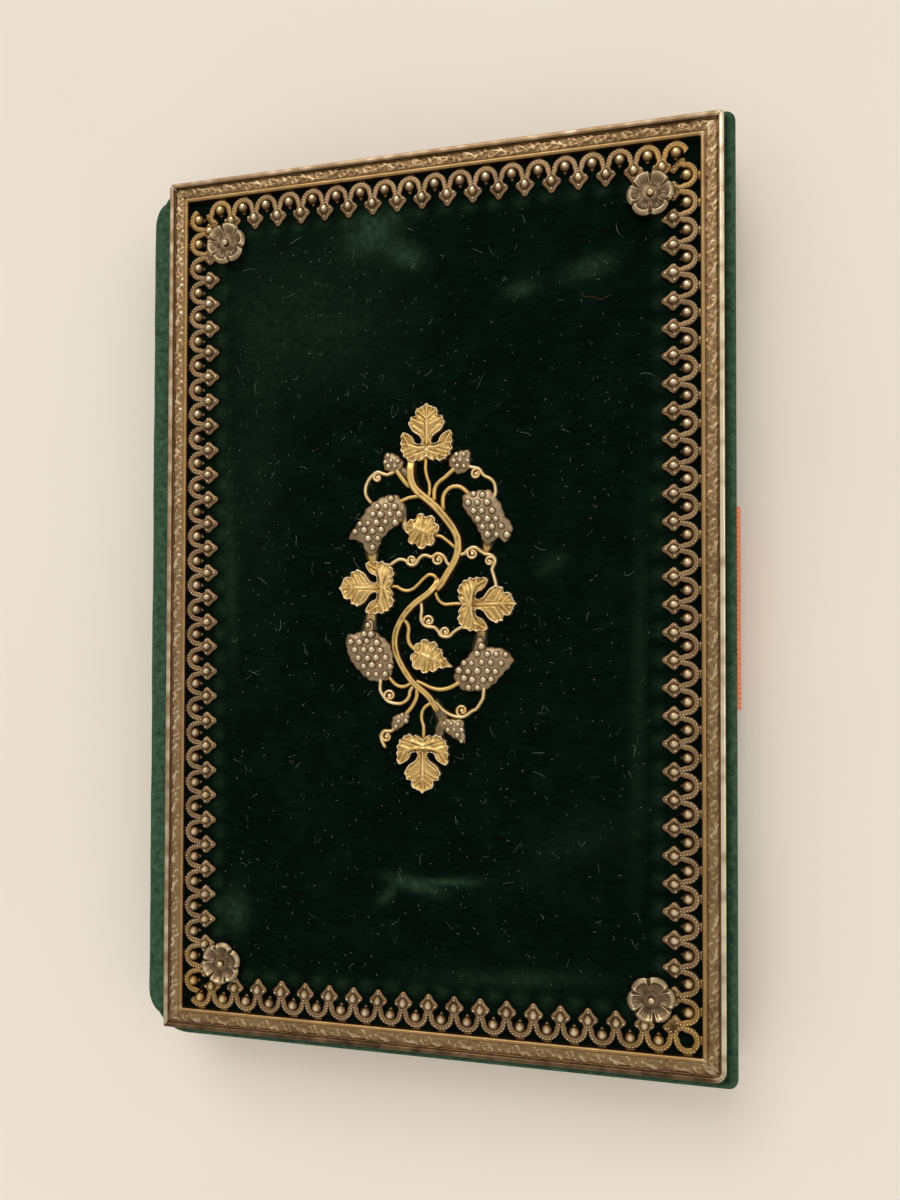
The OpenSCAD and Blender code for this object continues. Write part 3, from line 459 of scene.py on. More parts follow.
def blank_material(name: str, shader: dict) -> tuple[Material, Tree, Node, dict]:
    """Make a material with one Principled shader.

    Args:
        name: Name of the material.
        shader: Values of the shader's sockets that are the same all over.

    Returns:
        The material, its node tree, the shader, and the link that lays a texture by Object coordinates.
    """
    material = bpy.data.materials.new(name)
    material.use_nodes = True
    tree = material.node_tree
    tree.nodes.clear()
    principled = add(tree, "BsdfPrincipled", shader)
    add(tree, "OutputMaterial", None, {"Surface": principled})
    return material, tree, principled, {"Vector": add(tree, "TexCoord").outputs["Object"]}


@dataclass(frozen=True)
class MetalFinish:
    """A stamped, plated metal: dark in its recesses, dull on its flanks, and bright where it is rubbed or its
    wear carries painted light.

    Each tone is a recess, body and rubbed colour. The second tone shows where the plating differs. Roughness
    is that of a rubbed and of a dull place.
    """

    name: str
    tone: tuple[str, str, str]
    second: tuple[str, str, str] | None
    rough: tuple[float, float]
    tarnish_mm: float = 2.5
    grain_mm: float = 0.22
    grain_depth_mm: float = 0.04
    tarnish: float = 0.5

    def material(self) -> Material:
        """Mix the tones by wear and tarnish noise; grain gives the bump."""
        material, tree, shader, place = blank_material(self.name, {"Metallic": 1.0})
        wear, other = (
            add(tree, "Attribute", {"attribute_name": name}).outputs["Fac"] for name in ("wear", "second"))
        patches = {"Scale": per_mm(self.tarnish_mm), "Detail": 5.0, "Roughness": 0.65}
        cloud = add(tree, "TexNoise", patches, place)
        grain = add(tree, "TexNoise", {"Scale": per_mm(self.grain_mm), "Detail": 3.0}, place)
        centred = add(tree, "Math", {"operation": "SUBTRACT", 1: 0.5}, {0: cloud})
        level = add(tree, "Math", {"operation": "MULTIPLY_ADD", 1: self.tarnish}, {0: centred, 2: wear})
        soft = {"interpolation_type": "SMOOTHSTEP"}
        lower = add(tree, "MapRange", {**soft, "From Max": 0.5}, {"Value": level})
        upper = add(tree, "MapRange", {**soft, "From Min": 0.45, "From Max": 1.0}, {"Value": level})
        tones = []
        for recess, body, rubbed in (self.tone, self.second or self.tone):
            dull = {**COLOURS, FIRST: linear(recess), SECOND: linear(body)}
            flank = add(tree, "Mix", dull, {SHARE: lower})
            bright = {**COLOURS, SECOND: linear(rubbed)}
            tones.append(add(tree, "Mix", bright, {SHARE: upper, FIRST: flank}))
        both = add(tree, "Mix", COLOURS, {SHARE: other, FIRST: tones[0], SECOND: tones[1]})
        rough = add(tree, "MapRange", {"To Min": self.rough[1], "To Max": self.rough[0]}, {"Value": level})
        bump = add(tree, "Bump", {"Strength": 0.25, "Distance": self.grain_depth_mm * MM}, {"Height": grain})
        wire(tree, shader, {"Base Color": both, "Roughness": rough, "Normal": bump})
        return material


@dataclass(frozen=True)
class VelvetFinish:
    """Cut silk velvet: nearly black where one looks into the pile, paler where it leans (painted sheen) or is
    rubbed.

    The pile is drawn three times as coarse as it is, so that it shows.
    """

    name: str = "silk_velvet_cut_pile"
    deep: str = "#010a05"
    lit: str = "#06190f"
    # Rubbed tone: real rubbing, and painted sheen where the wear on the edges and the spine carries it
    rubbed: str = "#4f6f57"
    sheen: str = "#5f8f72"
    pile_mm: float = 0.3
    pile_depth_mm: float = 0.12
    lean_mm: float = 5.0
    patch_mm: float = 0.8
    brushed_mm: tuple[float, float, float] = (1.6, 0.45, 2.0)
    brushed_turn: float = 0.5

    def material(self) -> Material:
        """Sheen for the standing pile, slow and brushed noise for its lean as painted sheen, and wear in
        broken patches, partly painted sheen.
        """
        material, tree, shader, place = blank_material(self.name, {
            "Roughness": 0.95, "Specular IOR Level": 0.03, "Sheen Weight": 0.16, "Sheen Roughness": 0.35,
            "Sheen Tint": linear(self.sheen)})
        wear = add(tree, "Attribute", {"attribute_name": "wear"}).outputs["Fac"]
        lean = add(tree, "TexNoise", {"Scale": per_mm(self.lean_mm), "Detail": 4.0, "Roughness": 0.6}, place)
        pile = add(tree, "TexNoise", {"Scale": per_mm(self.pile_mm), "Detail": 2.0}, place)
        spots = {"Scale": per_mm(self.patch_mm), "Detail": 4.0, "Roughness": 0.7}
        patch = add(tree, "TexNoise", spots, place)
        uneven = {"From Min": 0.34, "From Max": 0.68, "To Min": 0.35, "To Max": 1.0}
        broken = add(tree, "MapRange", uneven, {"Value": patch})
        rub_and_sheen = add(tree, "Math", {"operation": "MULTIPLY"}, {0: wear, 1: broken})
        strokes = {"Rotation": (0.0, 0.0, self.brushed_turn), "Scale": [per_mm(v) for v in self.brushed_mm]}
        stretched = add(tree, "Mapping", strokes, place)
        brushed = add(tree, "TexNoise", {"Scale": 1.0, "Detail": 3.0}, {"Vector": stretched})
        both = add(tree, "Math", {"operation": "ADD"}, {0: lean, 1: brushed})
        turn = add(tree, "MapRange", {"From Min": 0.85, "From Max": 1.5}, {"Value": both})
        # Painted sheen: the lit tone goes where the noise has the pile lean
        pile_tones = {**COLOURS, FIRST: linear(self.deep), SECOND: linear(self.lit)}
        ground = add(tree, "Mix", pile_tones, {SHARE: turn})
        colour = add(tree, "Mix", {**COLOURS, SECOND: linear(self.rubbed)}, {SHARE: rub_and_sheen, FIRST: ground})
        bump = add(tree, "Bump", {"Strength": 0.6, "Distance": self.pile_depth_mm * MM}, {"Height": pile})
        wire(tree, shader, {"Base Color": colour, "Normal": bump})
        return material


@dataclass(frozen=True)
class ClothFinish:
    """Ribbed silk: a soft gloss across fine ribs, with painted light that makes their crests paler."""

    name: str
    valley: str
    crest: str
    rib_mm: float
    gloss: float = 0.42
    along: str = "Y"
    sheen: str = "#ffd9c2"
    rib_depth_mm: float = 0.08
    watered_mm: tuple[float, float, float] = (16.0, 3.0, 6.0)

    def material(self) -> Material:
        """Bands of the rib's pitch for bump and for painted light in the colour, and noise drawn along the
        ribs as watered marks.
        """
        material, tree, shader, place = blank_material(self.name, {
            "Roughness": self.gloss, "Sheen Weight": 0.3, "Sheen Roughness": 0.35,
            "Sheen Tint": linear(self.sheen)})
        ribs = add(
            tree, "TexWave",
            {"bands_direction": self.along, "Scale": np.pi / 10 * per_mm(self.rib_mm), "Distortion": 0.6,
             "Detail": 2.0, "Detail Scale": 2.0},
            place).outputs["Fac"]
        stretched = add(tree, "Mapping", {"Scale": [per_mm(v) for v in self.watered_mm]}, place)
        marks = {"Scale": 1.0, "Detail": 5.0, "Roughness": 0.55, "Distortion": 0.8}
        dye = add(tree, "TexNoise", marks, {"Vector": stretched})
        share = add(tree, "Math", {"operation": "MULTIPLY_ADD", 1: 0.55}, {0: ribs, 2: dye})
        mixed = add(tree, "MapRange", {"From Min": 0.2, "From Max": 1.3}, {"Value": share})
        # Painted light on the ribs: paler crests, darker valleys
        tones = {**COLOURS, FIRST: linear(self.valley), SECOND: linear(self.crest)}
        colour = add(tree, "Mix", tones, {SHARE: mixed})
        bump = add(tree, "Bump", {"Strength": 0.35, "Distance": self.rib_depth_mm * MM}, {"Height": ribs})
        wire(tree, shader, {"Base Color": colour, "Normal": bump})
        return material


@dataclass(frozen=True)
class FibreFinish:
    """Paper, pasteboard, loose silk or graphite: matt, mottled by its fibres or grains."""

    name: str
    dark: str
    pale: str
    mottle_mm: float
    rough: float
    fibre_mm: float = 0.3
    fibre_depth_mm: float = 0.05

    def material(self) -> Material:
        """Two noises for the mottle, the finer one as bump; wear makes it paler."""
        material, tree, shader, place = blank_material(
            self.name, {"Roughness": self.rough, "Specular IOR Level": 0.3})
        wear = add(tree, "Attribute", {"attribute_name": "wear"}).outputs["Fac"]
        spots = {"Scale": per_mm(self.mottle_mm), "Detail": 6.0, "Roughness": 0.7}
        mottle = add(tree, "TexNoise", spots, place)
        fibre = add(tree, "TexNoise", {"Scale": per_mm(self.fibre_mm), "Detail": 2.0}, place)
        share = add(tree, "Math", {"operation": "MULTIPLY"}, {0: mottle, 1: wear})
        mixed = add(tree, "MapRange", {"From Min": 0.1, "From Max": 0.55}, {"Value": share})
        tones = {**COLOURS, FIRST: linear(self.dark), SECOND: linear(self.pale)}
        colour = add(tree, "Mix", tones, {SHARE: mixed})
        bump = add(tree, "Bump", {"Strength": 0.2, "Distance": self.fibre_depth_mm * MM}, {"Height": fibre})
        wire(tree, shader, {"Base Color": colour, "Normal": bump})
        return material


class Look(Enum):
    """Looks of the case: the record's material slot, and the finish."""

    # Cut silk velvet, bottle green: deep and soft, with pale edges, partly rubbed and partly painted sheen
    VELVET = ("velvet", VelvetFinish())
    # Loose silk fibres, greyed by dust
    LINT = ("velvet", FibreFinish("loose_silk_fibres", "#26402f", "#a2b8a8", mottle_mm=1.0, rough=0.9))
    # Pasteboard: matt brown with pale and dark fibres
    BOARD = ("cover_board", FibreFinish("pasteboard_brown", "#5f4529", "#8f6d48", mottle_mm=1.8, rough=0.9))
    # Corded silk in coral, ribs half a millimetre apart: a soft gloss with watered marks
    SILK = ("coral_silk", ClothFinish("coral_corded_silk", "#a8401f", "#e2744a", rib_mm=0.55))
    # A loose thread of dark red silk
    THREAD = ("coral_silk", FibreFinish(
        "loose_silk_thread_red", "#1e0f0b", "#4c2b23", mottle_mm=1.0, rough=0.8))
    # Corded silk ribbon in a paler coral, with a duller and bolder rib
    RIBBON = ("coral_ribbon", ClothFinish("coral_corded_ribbon", "#b34a22", "#ef9160", rib_mm=0.6, gloss=0.5))
    # Stamped gilt metal with a rose cast, brown in its ground; the gallery is yellower near the corners
    BORDER = ("gilt_border", MetalFinish(
        "stamped_gilt_metal_rose", ("#281b11", "#907556", "#e0d3b8"), ("#33260f", "#a5824a", "#e6d098"),
        rough=(0.26, 0.5)))
    # Silver-plated stamped metal, greyed and brownish in the dishes
    ROSETTE = ("silvered_rosette", MetalFinish(
        "stamped_silvered_metal_aged", ("#30261b", "#847056", "#cab692"), ("#33270f", "#8b713d", "#cfb47c"),
        rough=(0.24, 0.46)))
    # Stamped gilt metal, yellow gold with paler rubbed rims, greyer where it carries a bunch
    VINE = ("gilt_vine", MetalFinish(
        "stamped_gilt_metal_yellow", ("#4a3719", "#d8b672", "#f8ead0"), ("#3a3025", "#857661", "#c8bba6"),
        rough=(0.28, 0.5)))
    # The rosettes' metal on the grapes: pewter grey balls on a matt ground
    GRAPE = ("silvered_grape", MetalFinish(
        "stamped_silvered_metal_pewter", ("#40341f", "#a58f71", "#ddcdae"), ("#3a2d14", "#917747", "#cbb175"),
        rough=(0.26, 0.5)))
    # Wove paper: matt cream, a little darker at its handled edges
    PAPER = ("memo_paper", FibreFinish("wove_paper_cream", "#e2d6bb", "#f0e7d3", mottle_mm=0.9, rough=0.85))
    # Drawn silver tube, polished, with darker grooves
    SILVER = ("pencil_silver", MetalFinish(
        "drawn_silver_polished", ("#4a4642", "#a7a19a", "#e6e2dc"), None, rough=(0.16, 0.35)))
    # Turned gilt metal, polished, with brown hollows
    GILT = ("pencil_gilt", MetalFinish(
        "turned_gilt_metal", ("#3a2710", "#b8904e", "#efd49c"), None, rough=(0.2, 0.4)))
    # Graphite: grey black with a dull gloss
    GRAPHITE = ("graphite", FibreFinish("graphite_lead", "#1c1c1f", "#45454a", mottle_mm=0.8, rough=0.45))


def placed(name: str, data: bpy.types.ID) -> bpy.types.Object:
    """Put a mesh, a lamp or a camera into the scene."""
    thing = bpy.data.objects.new(name, data)
    bpy.context.scene.collection.objects.link(thing)
    return thing


@cache
def made(look: Look) -> Material:
    """The look's material, made at its first use."""
    return look.value[1].material()


def put(
    name: str, surface: Surface, look: Look, body: Body | None, stands_for: Sequence[str] = ()
) -> bpy.types.Object:
    """Put a surface into the scene as one smooth piece.

    Args:
        name: Name of the piece.
        surface: Its mesh in millimetres.
        look: Its finish.
        body: The body that it rides on, or None for a piece left on no body.
        stands_for: CAD nodes that it replaces.

    Returns:
        The object.
    """
    mesh = bpy.data.meshes.new(name)
    mesh.from_pydata((surface.points * MM).tolist(), [], [f for g in surface.faces for f in g.tolist()])
    second = np.zeros(len(surface.points)) if surface.second is None else surface.second
    for key, values in (("wear", surface.wear), ("second", second)):
        mesh.attributes.new(key, "FLOAT", "POINT").data.foreach_set("value", values.astype(np.float32))
    mesh.polygons.foreach_set("use_smooth", np.ones(len(mesh.polygons), bool))
    mesh.materials.append(made(look))
    piece = placed(name, mesh)
    if body is not None:
        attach(piece, body.value)
    if stands_for:
        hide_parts(*stands_for)
    log.info("%s: %d faces", name, len(mesh.polygons))
    return piece


def dress(node: str, look: Look) -> None:
    """Give a better material to a CAD node that keeps its shape."""
    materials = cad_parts[node].data.materials
    materials.clear()
    materials.append(made(look))


@dataclass
class Covers:
    """The two velvet covers with their silk linings and pockets."""

    edge_r: float = 0.9
    spine_r: float = 5.2
    fore_r: float = 1.2
    lip_r: float = 0.35
    turn_in: float = 0.3
    turn_over: float = 0.5
    velvet_grid: tuple[float, float] = (0.24, 0.62)
    lining_in: float = 0.5
    lining_gap: float = 0.07
    pocket_gap: float = 0.03
    hem_r: float = 0.26
    stitch_in: float = 1.2
    stitch_step: float = 1.5
    border_half: tuple[float, float] = (36.5, 57.5)
    finial_in: float = 7.6
    finial_pitch: float = 3.33
    fleck_count: int = 1000
    hair_count: int = 190
    loose_thread: Pairs = (
        (19.6, 37.6), (19.9, 36.9), (20.6, 36.9), (21.2, 36.7), (21.8, 36.4), (22.5, 36.5), (23.3, 36.9))
    # Rubbed places of the front velvet: X, Y, half sizes, turn in degrees, strength; the broad faint one at
    # -16, 38 is painted sheen
    rubs: tuple[tuple[float, ...], ...] = (
        (-7.5, 48.0, 3.6, 2.6, 20, 0.3), (-3.0, 44.5, 2.4, 1.4, -30, 0.3), (-1.5, -36.6, 3.2, 0.7, -14, 0.32),
        (3.2, -36.0, 3.6, 0.4, 4, 0.34), (-5.2, -38.2, 1.5, 0.7, 45, 0.22), (20.5, 40.5, 3.0, 1.3, 15, 0.2),
        (12.0, 38.6, 2.0, 0.9, 5, 0.2), (-26.4, -41.5, 1.8, 2.6, 0, 0.22), (-27.5, 6.0, 0.9, 14.0, 2, 0.12),
        (26.5, -10.0, 0.9, 18.0, -1, 0.09), (12.0, -47.5, 9.0, 1.0, 4, 0.12), (16.0, 4.0, 2.0, 1.1, 30, 0.1),
        (-16.0, 38.0, 12.0, 9.0, -20, 0.08), (-24.0, 20.0, 4.0, 22.0, 0, 0.05),
        (20.0, -30.0, 9.0, 3.0, 25, 0.04))

    def __post_init__(self) -> None:
        """Read the covers' plan and levels from the CAD nodes."""
        low, high = cad_mm("front_velvet")
        self.plan = CoverPlan(low[0], high[0], low[1], high[1], self.spine_r, self.fore_r)
        self.z_inner, self.z_top = low[2], high[2]
        self.thick = high[2] - low[2]

    def sew(self, cover: Cover, kind: str, surface: Surface) -> None:
        """Put one cloth of a cover into the scene.

        Args:
            cover: Which cover.
            kind: Last word of the CAD node that the cloth stands for.
            surface: Its mesh.
        """
        word, body = cover.value
        name, look = f"silk_{kind}_{word}", Look.SILK
        if kind == "velvet":
            name, look = f"velvet_{word}", Look.VELVET
        piece = put(name, surface, look, body, [f"{word}_{kind}"])

    def velvet(self, cover: Cover) -> None:
        """Stretch the velvet over a board, round its edges and in at the lining; the front one faces up."""
        fall = EdgeFall.over(self.edge_r, self.thick, self.lip_r, self.turn_in)
        points, past = self.plan.skin(fall, *self.velvet_grid)
        x, y = points[..., 0], points[..., 1]
        # Paler rounded edges: wear, and painted sheen of velvet seen edge-on
        wear = 0.6 * hump(past, 0.9, 0.9) + 0.2 * smooth(past, -2.2, 0) + 0.15 * hump(past, 2.6, 1.0)
        soft = 0.04 * np.sin(x / 5.1 + 0.7 * np.sin(y / 7.3)) * np.sin(y / 6.2) * (past < -0.5)
        points[..., 2] += np.minimum(soft, 0)
        if cover is Cover.FRONT:
            wear += self.rubbing(x, y)
            points[..., 2] += self.z_top
        else:
            points[..., 2] = -points[..., 2]
        self.sew(cover, "velvet", cloth(points, np.clip(wear, 0, 1)))

    def rubbing(self, x: Array, y: Array) -> Array:
        """Wear of the rubbed places, one of which is a patch of painted sheen: bell curves in turned
        ellipses, and a wave beside the finials.
        """
        wear = np.zeros_like(x)
        for cx, cy, rx, ry, turn, strength in self.rubs:
            c, s = np.cos(np.radians(turn)), np.sin(np.radians(turn))
            u, v = c * (x - cx) + s * (y - cy), c * (y - cy) - s * (x - cx)
            wear += strength * np.exp(-((u / rx) ** 2) - (v / ry) ** 2)
        in_x, in_y = self.border_half[0] - np.abs(x), self.border_half[1] - np.abs(y)
        along = np.where(in_x < in_y, y + 1.1, x - 2.1)
        beside = 0.5 + 0.5 * np.cos(2 * np.pi * along / self.finial_pitch)
        return wear + 0.13 * hump(np.minimum(in_x, in_y), self.finial_in, 0.7) * beside

    def hairs(self, at: Array, length: Array, bend: float, thin: float, rng: np.random.Generator) -> Surface:
        """Curled hairs that lie on the front velvet, each a thin three-sided tube.

        Args:
            at: Where each begins.
            length: Of each.
            bend: Largest turn along a hair, in radians.
            thin: Radius of a hair.
            rng: Source of their directions.

        Returns:
            All hairs in one surface.
        """
        n, steps = len(at), 7
        turn = rng.uniform(-bend, bend, n)[:, None] * np.linspace(0, 1, steps)
        a = rng.uniform(0, 2 * np.pi, n)[:, None] + turn + 0.5 * np.sin(3 * turn)
        path = at[:, None] + np.cumsum(length[:, None, None] / steps * circle(a), 1)
        across = np.stack([-np.sin(a), np.cos(a)], -1)
        k = np.radians([90, 210, 330])
        ring = path[:, :, None] + thin * np.cos(k)[:, None] * across[:, :, None]
        tubes = lifted(ring, self.z_top + 0.05 + thin * np.sin(k))
        return joined([loft(tube, rng.uniform(0.3, 1.0)) for tube in tubes])

    def threads(self) -> None:
        """Strew loose fibres over the front velvet: many flecks, some hairs and one thread of the lining."""
        rng = np.random.default_rng(11)
        n, m = self.fleck_count, self.hair_count
        flecks = np.stack([rng.uniform(-28, 28, n), rng.uniform(-49, 49, n)], -1)
        long = np.stack([rng.uniform(-27, 27, m), rng.uniform(-48, 48, m)], -1)
        surface = joined([
            self.hairs(flecks, rng.uniform(0.12, 0.45, n), bend=2.2, thin=0.021, rng=rng),
            self.hairs(long, rng.uniform(0.6, 2.2, m), bend=4.2, thin=0.015, rng=rng)])
        put("loose_pile_fibres", surface, Look.LINT, Body.FRONT)
        thread = flat_bar(spline(self.loose_thread, 4), width=0.1, height=0.06, sides=6)
        put("loose_silk_thread", thread.moved(0, (0, 0, self.z_top + 0.02)), Look.THREAD, Body.FRONT)

    def lining(self, cover: Cover) -> None:
        """Lay a silk panel over the turned-in velvet inside a cover."""
        plan = self.plan.drawn_in(self.lining_in)
        fall = EdgeFall.over(radius=0.3, depth=0.45, lip=0.1, turn_in=0.05)
        points, past = plan.skin(fall, fine=0.3, coarse=2.2)
        rise = points[..., 2] - 0.05 * smooth(past, -2.5, 0)
        if cover is Cover.FRONT:
            points[..., 2] = self.z_inner - self.lining_gap - rise
        else:
            points[..., 2] = self.thick + self.lining_gap + rise
        self.sew(cover, "lining", cloth(points, 0.5))

    def pocket(self, cover: Cover) -> None:
        """Sew a pocket on a lining: cloth with a fall on three sides, a rolled hem and a row of stitches."""
        low, high = cad_mm(f"{cover.value[0]}_pocket")
        plan = CoverPlan(low[0], high[0], low[1], high[1] + 20, self.spine_r - 0.8, 0.8)
        fall = EdgeFall.over(radius=0.35, depth=high[2] - low[2] - 0.05, lip=0.1, turn_in=0.15)
        points, past = plan.skin(fall, fine=0.3, coarse=1.6, mouth=high[1])
        rise = points[..., 2] - 0.12 * hump(past, -1.2, 0.35)
        if cover is Cover.FRONT:
            points[..., 2] = -rise + low[2] + self.pocket_gap
            face, inward = low[2] + self.pocket_gap, 1
        else:
            points[..., 2] = rise + high[2] - self.pocket_gap
            face, inward = high[2] - self.pocket_gap, -1
        x = np.linspace(low[0] + 0.5, high[0] - 0.5, 60)[:, None]
        a = np.linspace(0, 2 * np.pi, 10, endpoint=False)
        roll = self.hem_r * (1 + 0.05 * np.sin(x * 2.3))
        hem_y = high[1] - 0.2 + 1.2 * roll * np.cos(a)
        hem_z = face + inward * self.hem_r * 0.9 + roll * np.sin(a)
        hem = np.stack(np.broadcast_arrays(x, hem_y, hem_z), -1)
        surface = joined([cloth(points, 0.5), loft(hem, 0.8), self.stitches(plan, high[1], face)])
        self.sew(cover, "pocket", surface)

    def stitches(self, plan: CoverPlan, mouth: float, face: float) -> Surface:
        """Row of stitches inside a pocket's three sewn sides, up to its mouth, at the level of its face."""
        inset = plan.drawn_in(self.stitch_in)
        r = inset.spine_r
        a = np.radians(np.linspace(180, 270, 9))
        corner = [inset.x0 + r, inset.y0 + r] + r * circle(a)
        path = np.concatenate([
            [[inset.x0, mouth - 1]], corner, [[inset.x1, inset.y0], [inset.x1, mouth - 1]]])
        run = run_along(path)
        at = np.arange(0.7, run[-1], self.stitch_step)
        places = points_at(at, run, path)
        ahead = points_at(at + 0.2, run, path) - places
        turns = np.degrees(np.arctan2(ahead[:, 1], ahead[:, 0]))
        return repeated(stitch((0.5, 0.12, 0.1)), lifted(places, face), None, turns)

    def build(self) -> None:
        """Make both covers."""
        for cover in Cover:
            self.velvet(cover)
        self.threads()
        for cover in Cover:
            self.lining(cover)
        for cover in Cover:
            self.pocket(cover)
        for node in ("front_board", "back_board", "spine_inlay"):
            dress(node, Look.BOARD)


@dataclass
class Spine:
    """The soft velvet back with its silk lining, each in two halves that meet at mid-height."""

    covers: Covers
    velvet_t: float = 0.35
    silk_t: float = 0.08
    silk_in: float = 0.3
    end_l: float = 3.2
    past: float = 1.5
    sink: float = 0.9
    lap: float = 2.4
    least_cut: float = 10.0

    def __post_init__(self) -> None:
        """Read the spine's arc from its CAD node."""
        low, high = cad_mm("spine_velvet")
        self.y0, self.y1 = low[1], high[1]
        self.x_hinge, self.z_low, self.z_high = high[0], low[2], high[2]
        bulge = high[0] - low[0]
        half = (high[2] - low[2]) / 2
        self.arc_r = (half**2 + bulge**2) / (2 * bulge)
        self.middle = np.array([low[0] + self.arc_r, (low[2] + high[2]) / 2])
        self.arc_half = np.arcsin(half / self.arc_r)
        self.edge = self.covers.plan.x0

    def strip(self, section: Array, thick: float, wear: Array | float, past: float, sink: float) -> Surface:
        """Carry a section along the spine, with thickness and rounded ends.

        Each row is the section and, back again, the section moved in by the thickness. Near the ends what
        stands past the covers' edge is drawn in by 1 - t^4 and all of it sinks, so it runs into their round
        corners.

        Args:
            section: Points in X and Z, outer side.
            thick: Thickness of the cloth.
            wear: A value, or one per section point.
            past: How far the strip goes past the CAD spine's ends.
            sink: How far its ends sink in; 0 leaves them square.

        Returns:
            The closed strip.
        """
        left = square_to(section)
        inward = np.where(left[:, 0].sum() > 0, 1, -1) * left
        ring_x, ring_z = np.concatenate([section, (section + thick * inward)[::-1]]).T
        y = graded(self.y0 - past, self.y1 + past, self.end_l, fine=0.25, coarse=0.8)[:, None]
        from_end = np.minimum(y - y[0], y[-1] - y)
        draw = 1 - (1 - np.clip(from_end / self.end_l, 0, 1)) ** 4 if sink > 0 else np.ones_like(y)
        sunk = sink * (1 - draw)
        outside = ring_x < self.edge
        x = np.where(outside, self.edge + (ring_x - self.edge) * draw, ring_x)
        ripple = 0.03 * np.sin(y / 3.7 + np.sin(y / 2.1)) * outside
        z = self.middle[1] + (ring_z - self.middle[1]) * (1 - 0.05 * sunk)
        points = np.stack([x + ripple + sunk, np.broadcast_to(y, x.shape), z], -1)
        worn = np.broadcast_to(wear, len(section))
        return loft(points, np.concatenate([worn, worn[::-1]]))

    def arc(self, upper: bool, radius: float, share: float = 1.0) -> Array:
        """Points of the spine's arc from mid-height to a share of the way to a hinge line."""
        a = np.pi - (1 if upper else -1) * np.linspace(0, self.arc_half * share, 14)
        return self.middle + radius * circle(a)

    def velvet(self) -> Iterator[tuple]:
        """Both halves of the velvet; the upper one laps over the front cover to the border.

        Returns:
            For each half its name, its section, its mesh, the two bodies that it lies between, and the X and
            Z of the two ends of the stretch where its section passes from the first to the second.
        """
        x, low, high, edge, top = self.x_hinge, self.z_low, self.z_high, self.edge, self.covers.z_top
        shoulder = spline([
            [x, high], [edge - 0.02, top + 0.02], [edge + 0.5, top + 0.1], [edge + 1.3, top + 0.08],
            [edge + self.lap, top + 0.03]], 6)
        foot = spline([
            [x, low], [edge - 0.12, low - 0.45], [edge - 0.03, low - 0.95], [edge + 0.12, low - 1.45]], 6)
        for name, upper, turned, bodies, start, end in (
            ("spine_velvet_upper", True, shoulder, (Body.SPINE, Body.FRONT), high - 1.6, high + 0.2),
            ("spine_velvet_lower", False, foot, (Body.BACK, Body.SPINE), low - 0.5, low + 1.6),
        ):
            section = np.concatenate([self.arc(upper, self.arc_r)[:-1], turned])
            # Wear and painted sheen: the spine's velvet is paler all over, most at the shoulder where it
            # turns onto the front cover
            wear = 0.4 + 0.35 * hump(section[:, 1], high + 0.1, 0.6)
            surface = self.strip(section, self.velvet_t, wear, self.past, self.sink)
            yield name, section, surface, bodies, (x, start), (x, end)

    def lining(self) -> Iterator[tuple]:
        """Both halves of the silk, in the velvet's way: inside the spine, then round a cover's edge."""
        edge = self.edge
        radius = self.middle[0] - cad_mm("spine_lining")[0][0]
        for name, upper, inner, bodies in (
            ("spine_silk_upper", True, self.covers.z_inner, (Body.SPINE, Body.FRONT)),
            ("spine_silk_lower", False, self.covers.thick, (Body.SPINE, Body.BACK)),
        ):
            out = 1 if upper else -1
            arc = self.arc(upper, radius - 0.02, 0.62)
            fold_z = arc[-1, 1]
            turned = spline([
                arc[-1], [edge - 0.22, fold_z + 0.3 * out], [edge - 0.12, fold_z - 0.3 * out],
                [edge - 0.1, inner + 0.3 * out], [edge + 0.15, inner - 0.1 * out],
                [edge + 1.0, inner - 0.13 * out], [edge + 2.2, inner - 0.13 * out]], 6)
            section = np.concatenate([arc[:-1], turned])
            surface = self.strip(section, self.silk_t, 0.5, -self.silk_in, 0.0)
            yield name, section, surface, bodies, (edge - 0.3, inner), (edge - 0.1, inner)

    def build(self) -> None:
        """Put each half into the scene on no body, with its transform baked into its mesh."""
        for name, section, surface, bodies, start, end in (*self.velvet(), *self.lining()):
            look, node = (Look.VELVET, "spine_velvet") if "velvet" in name else (Look.SILK, "spine_lining")
            piece = put(name, surface, look, None, [node])
            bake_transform(piece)
            length = run_along(section)[-1]
            max(length + 2, self.least_cut) * MM


class Side(Enum):
    """Sides of the border.

    CAD node, turn in degrees, way out in X and Y, a crown's place, wear of the outer fillet and of the
    band's ground, and the stretches at its low and high end that are polished bare. The outer fillet's wear
    also paints its light: high on the right as a painted reflection, low at the bottom as painted shade.
    """

    TOP = ("border_top", 180, (0, 1), -0.95, 0.52, 0.28, (0.9, 0.0))
    BOTTOM = ("border_bottom", 0, (0, -1), 2.1, 0.2, 0.36, (0.0, 0.6))
    LEFT = ("border_left", -90, (-1, 0), 1.1, 0.64, 0.43, (0.0, 2.6))
    RIGHT = ("border_right", 90, (1, 0), 0.35, 0.88, 0.33, (0.5, 1.6))


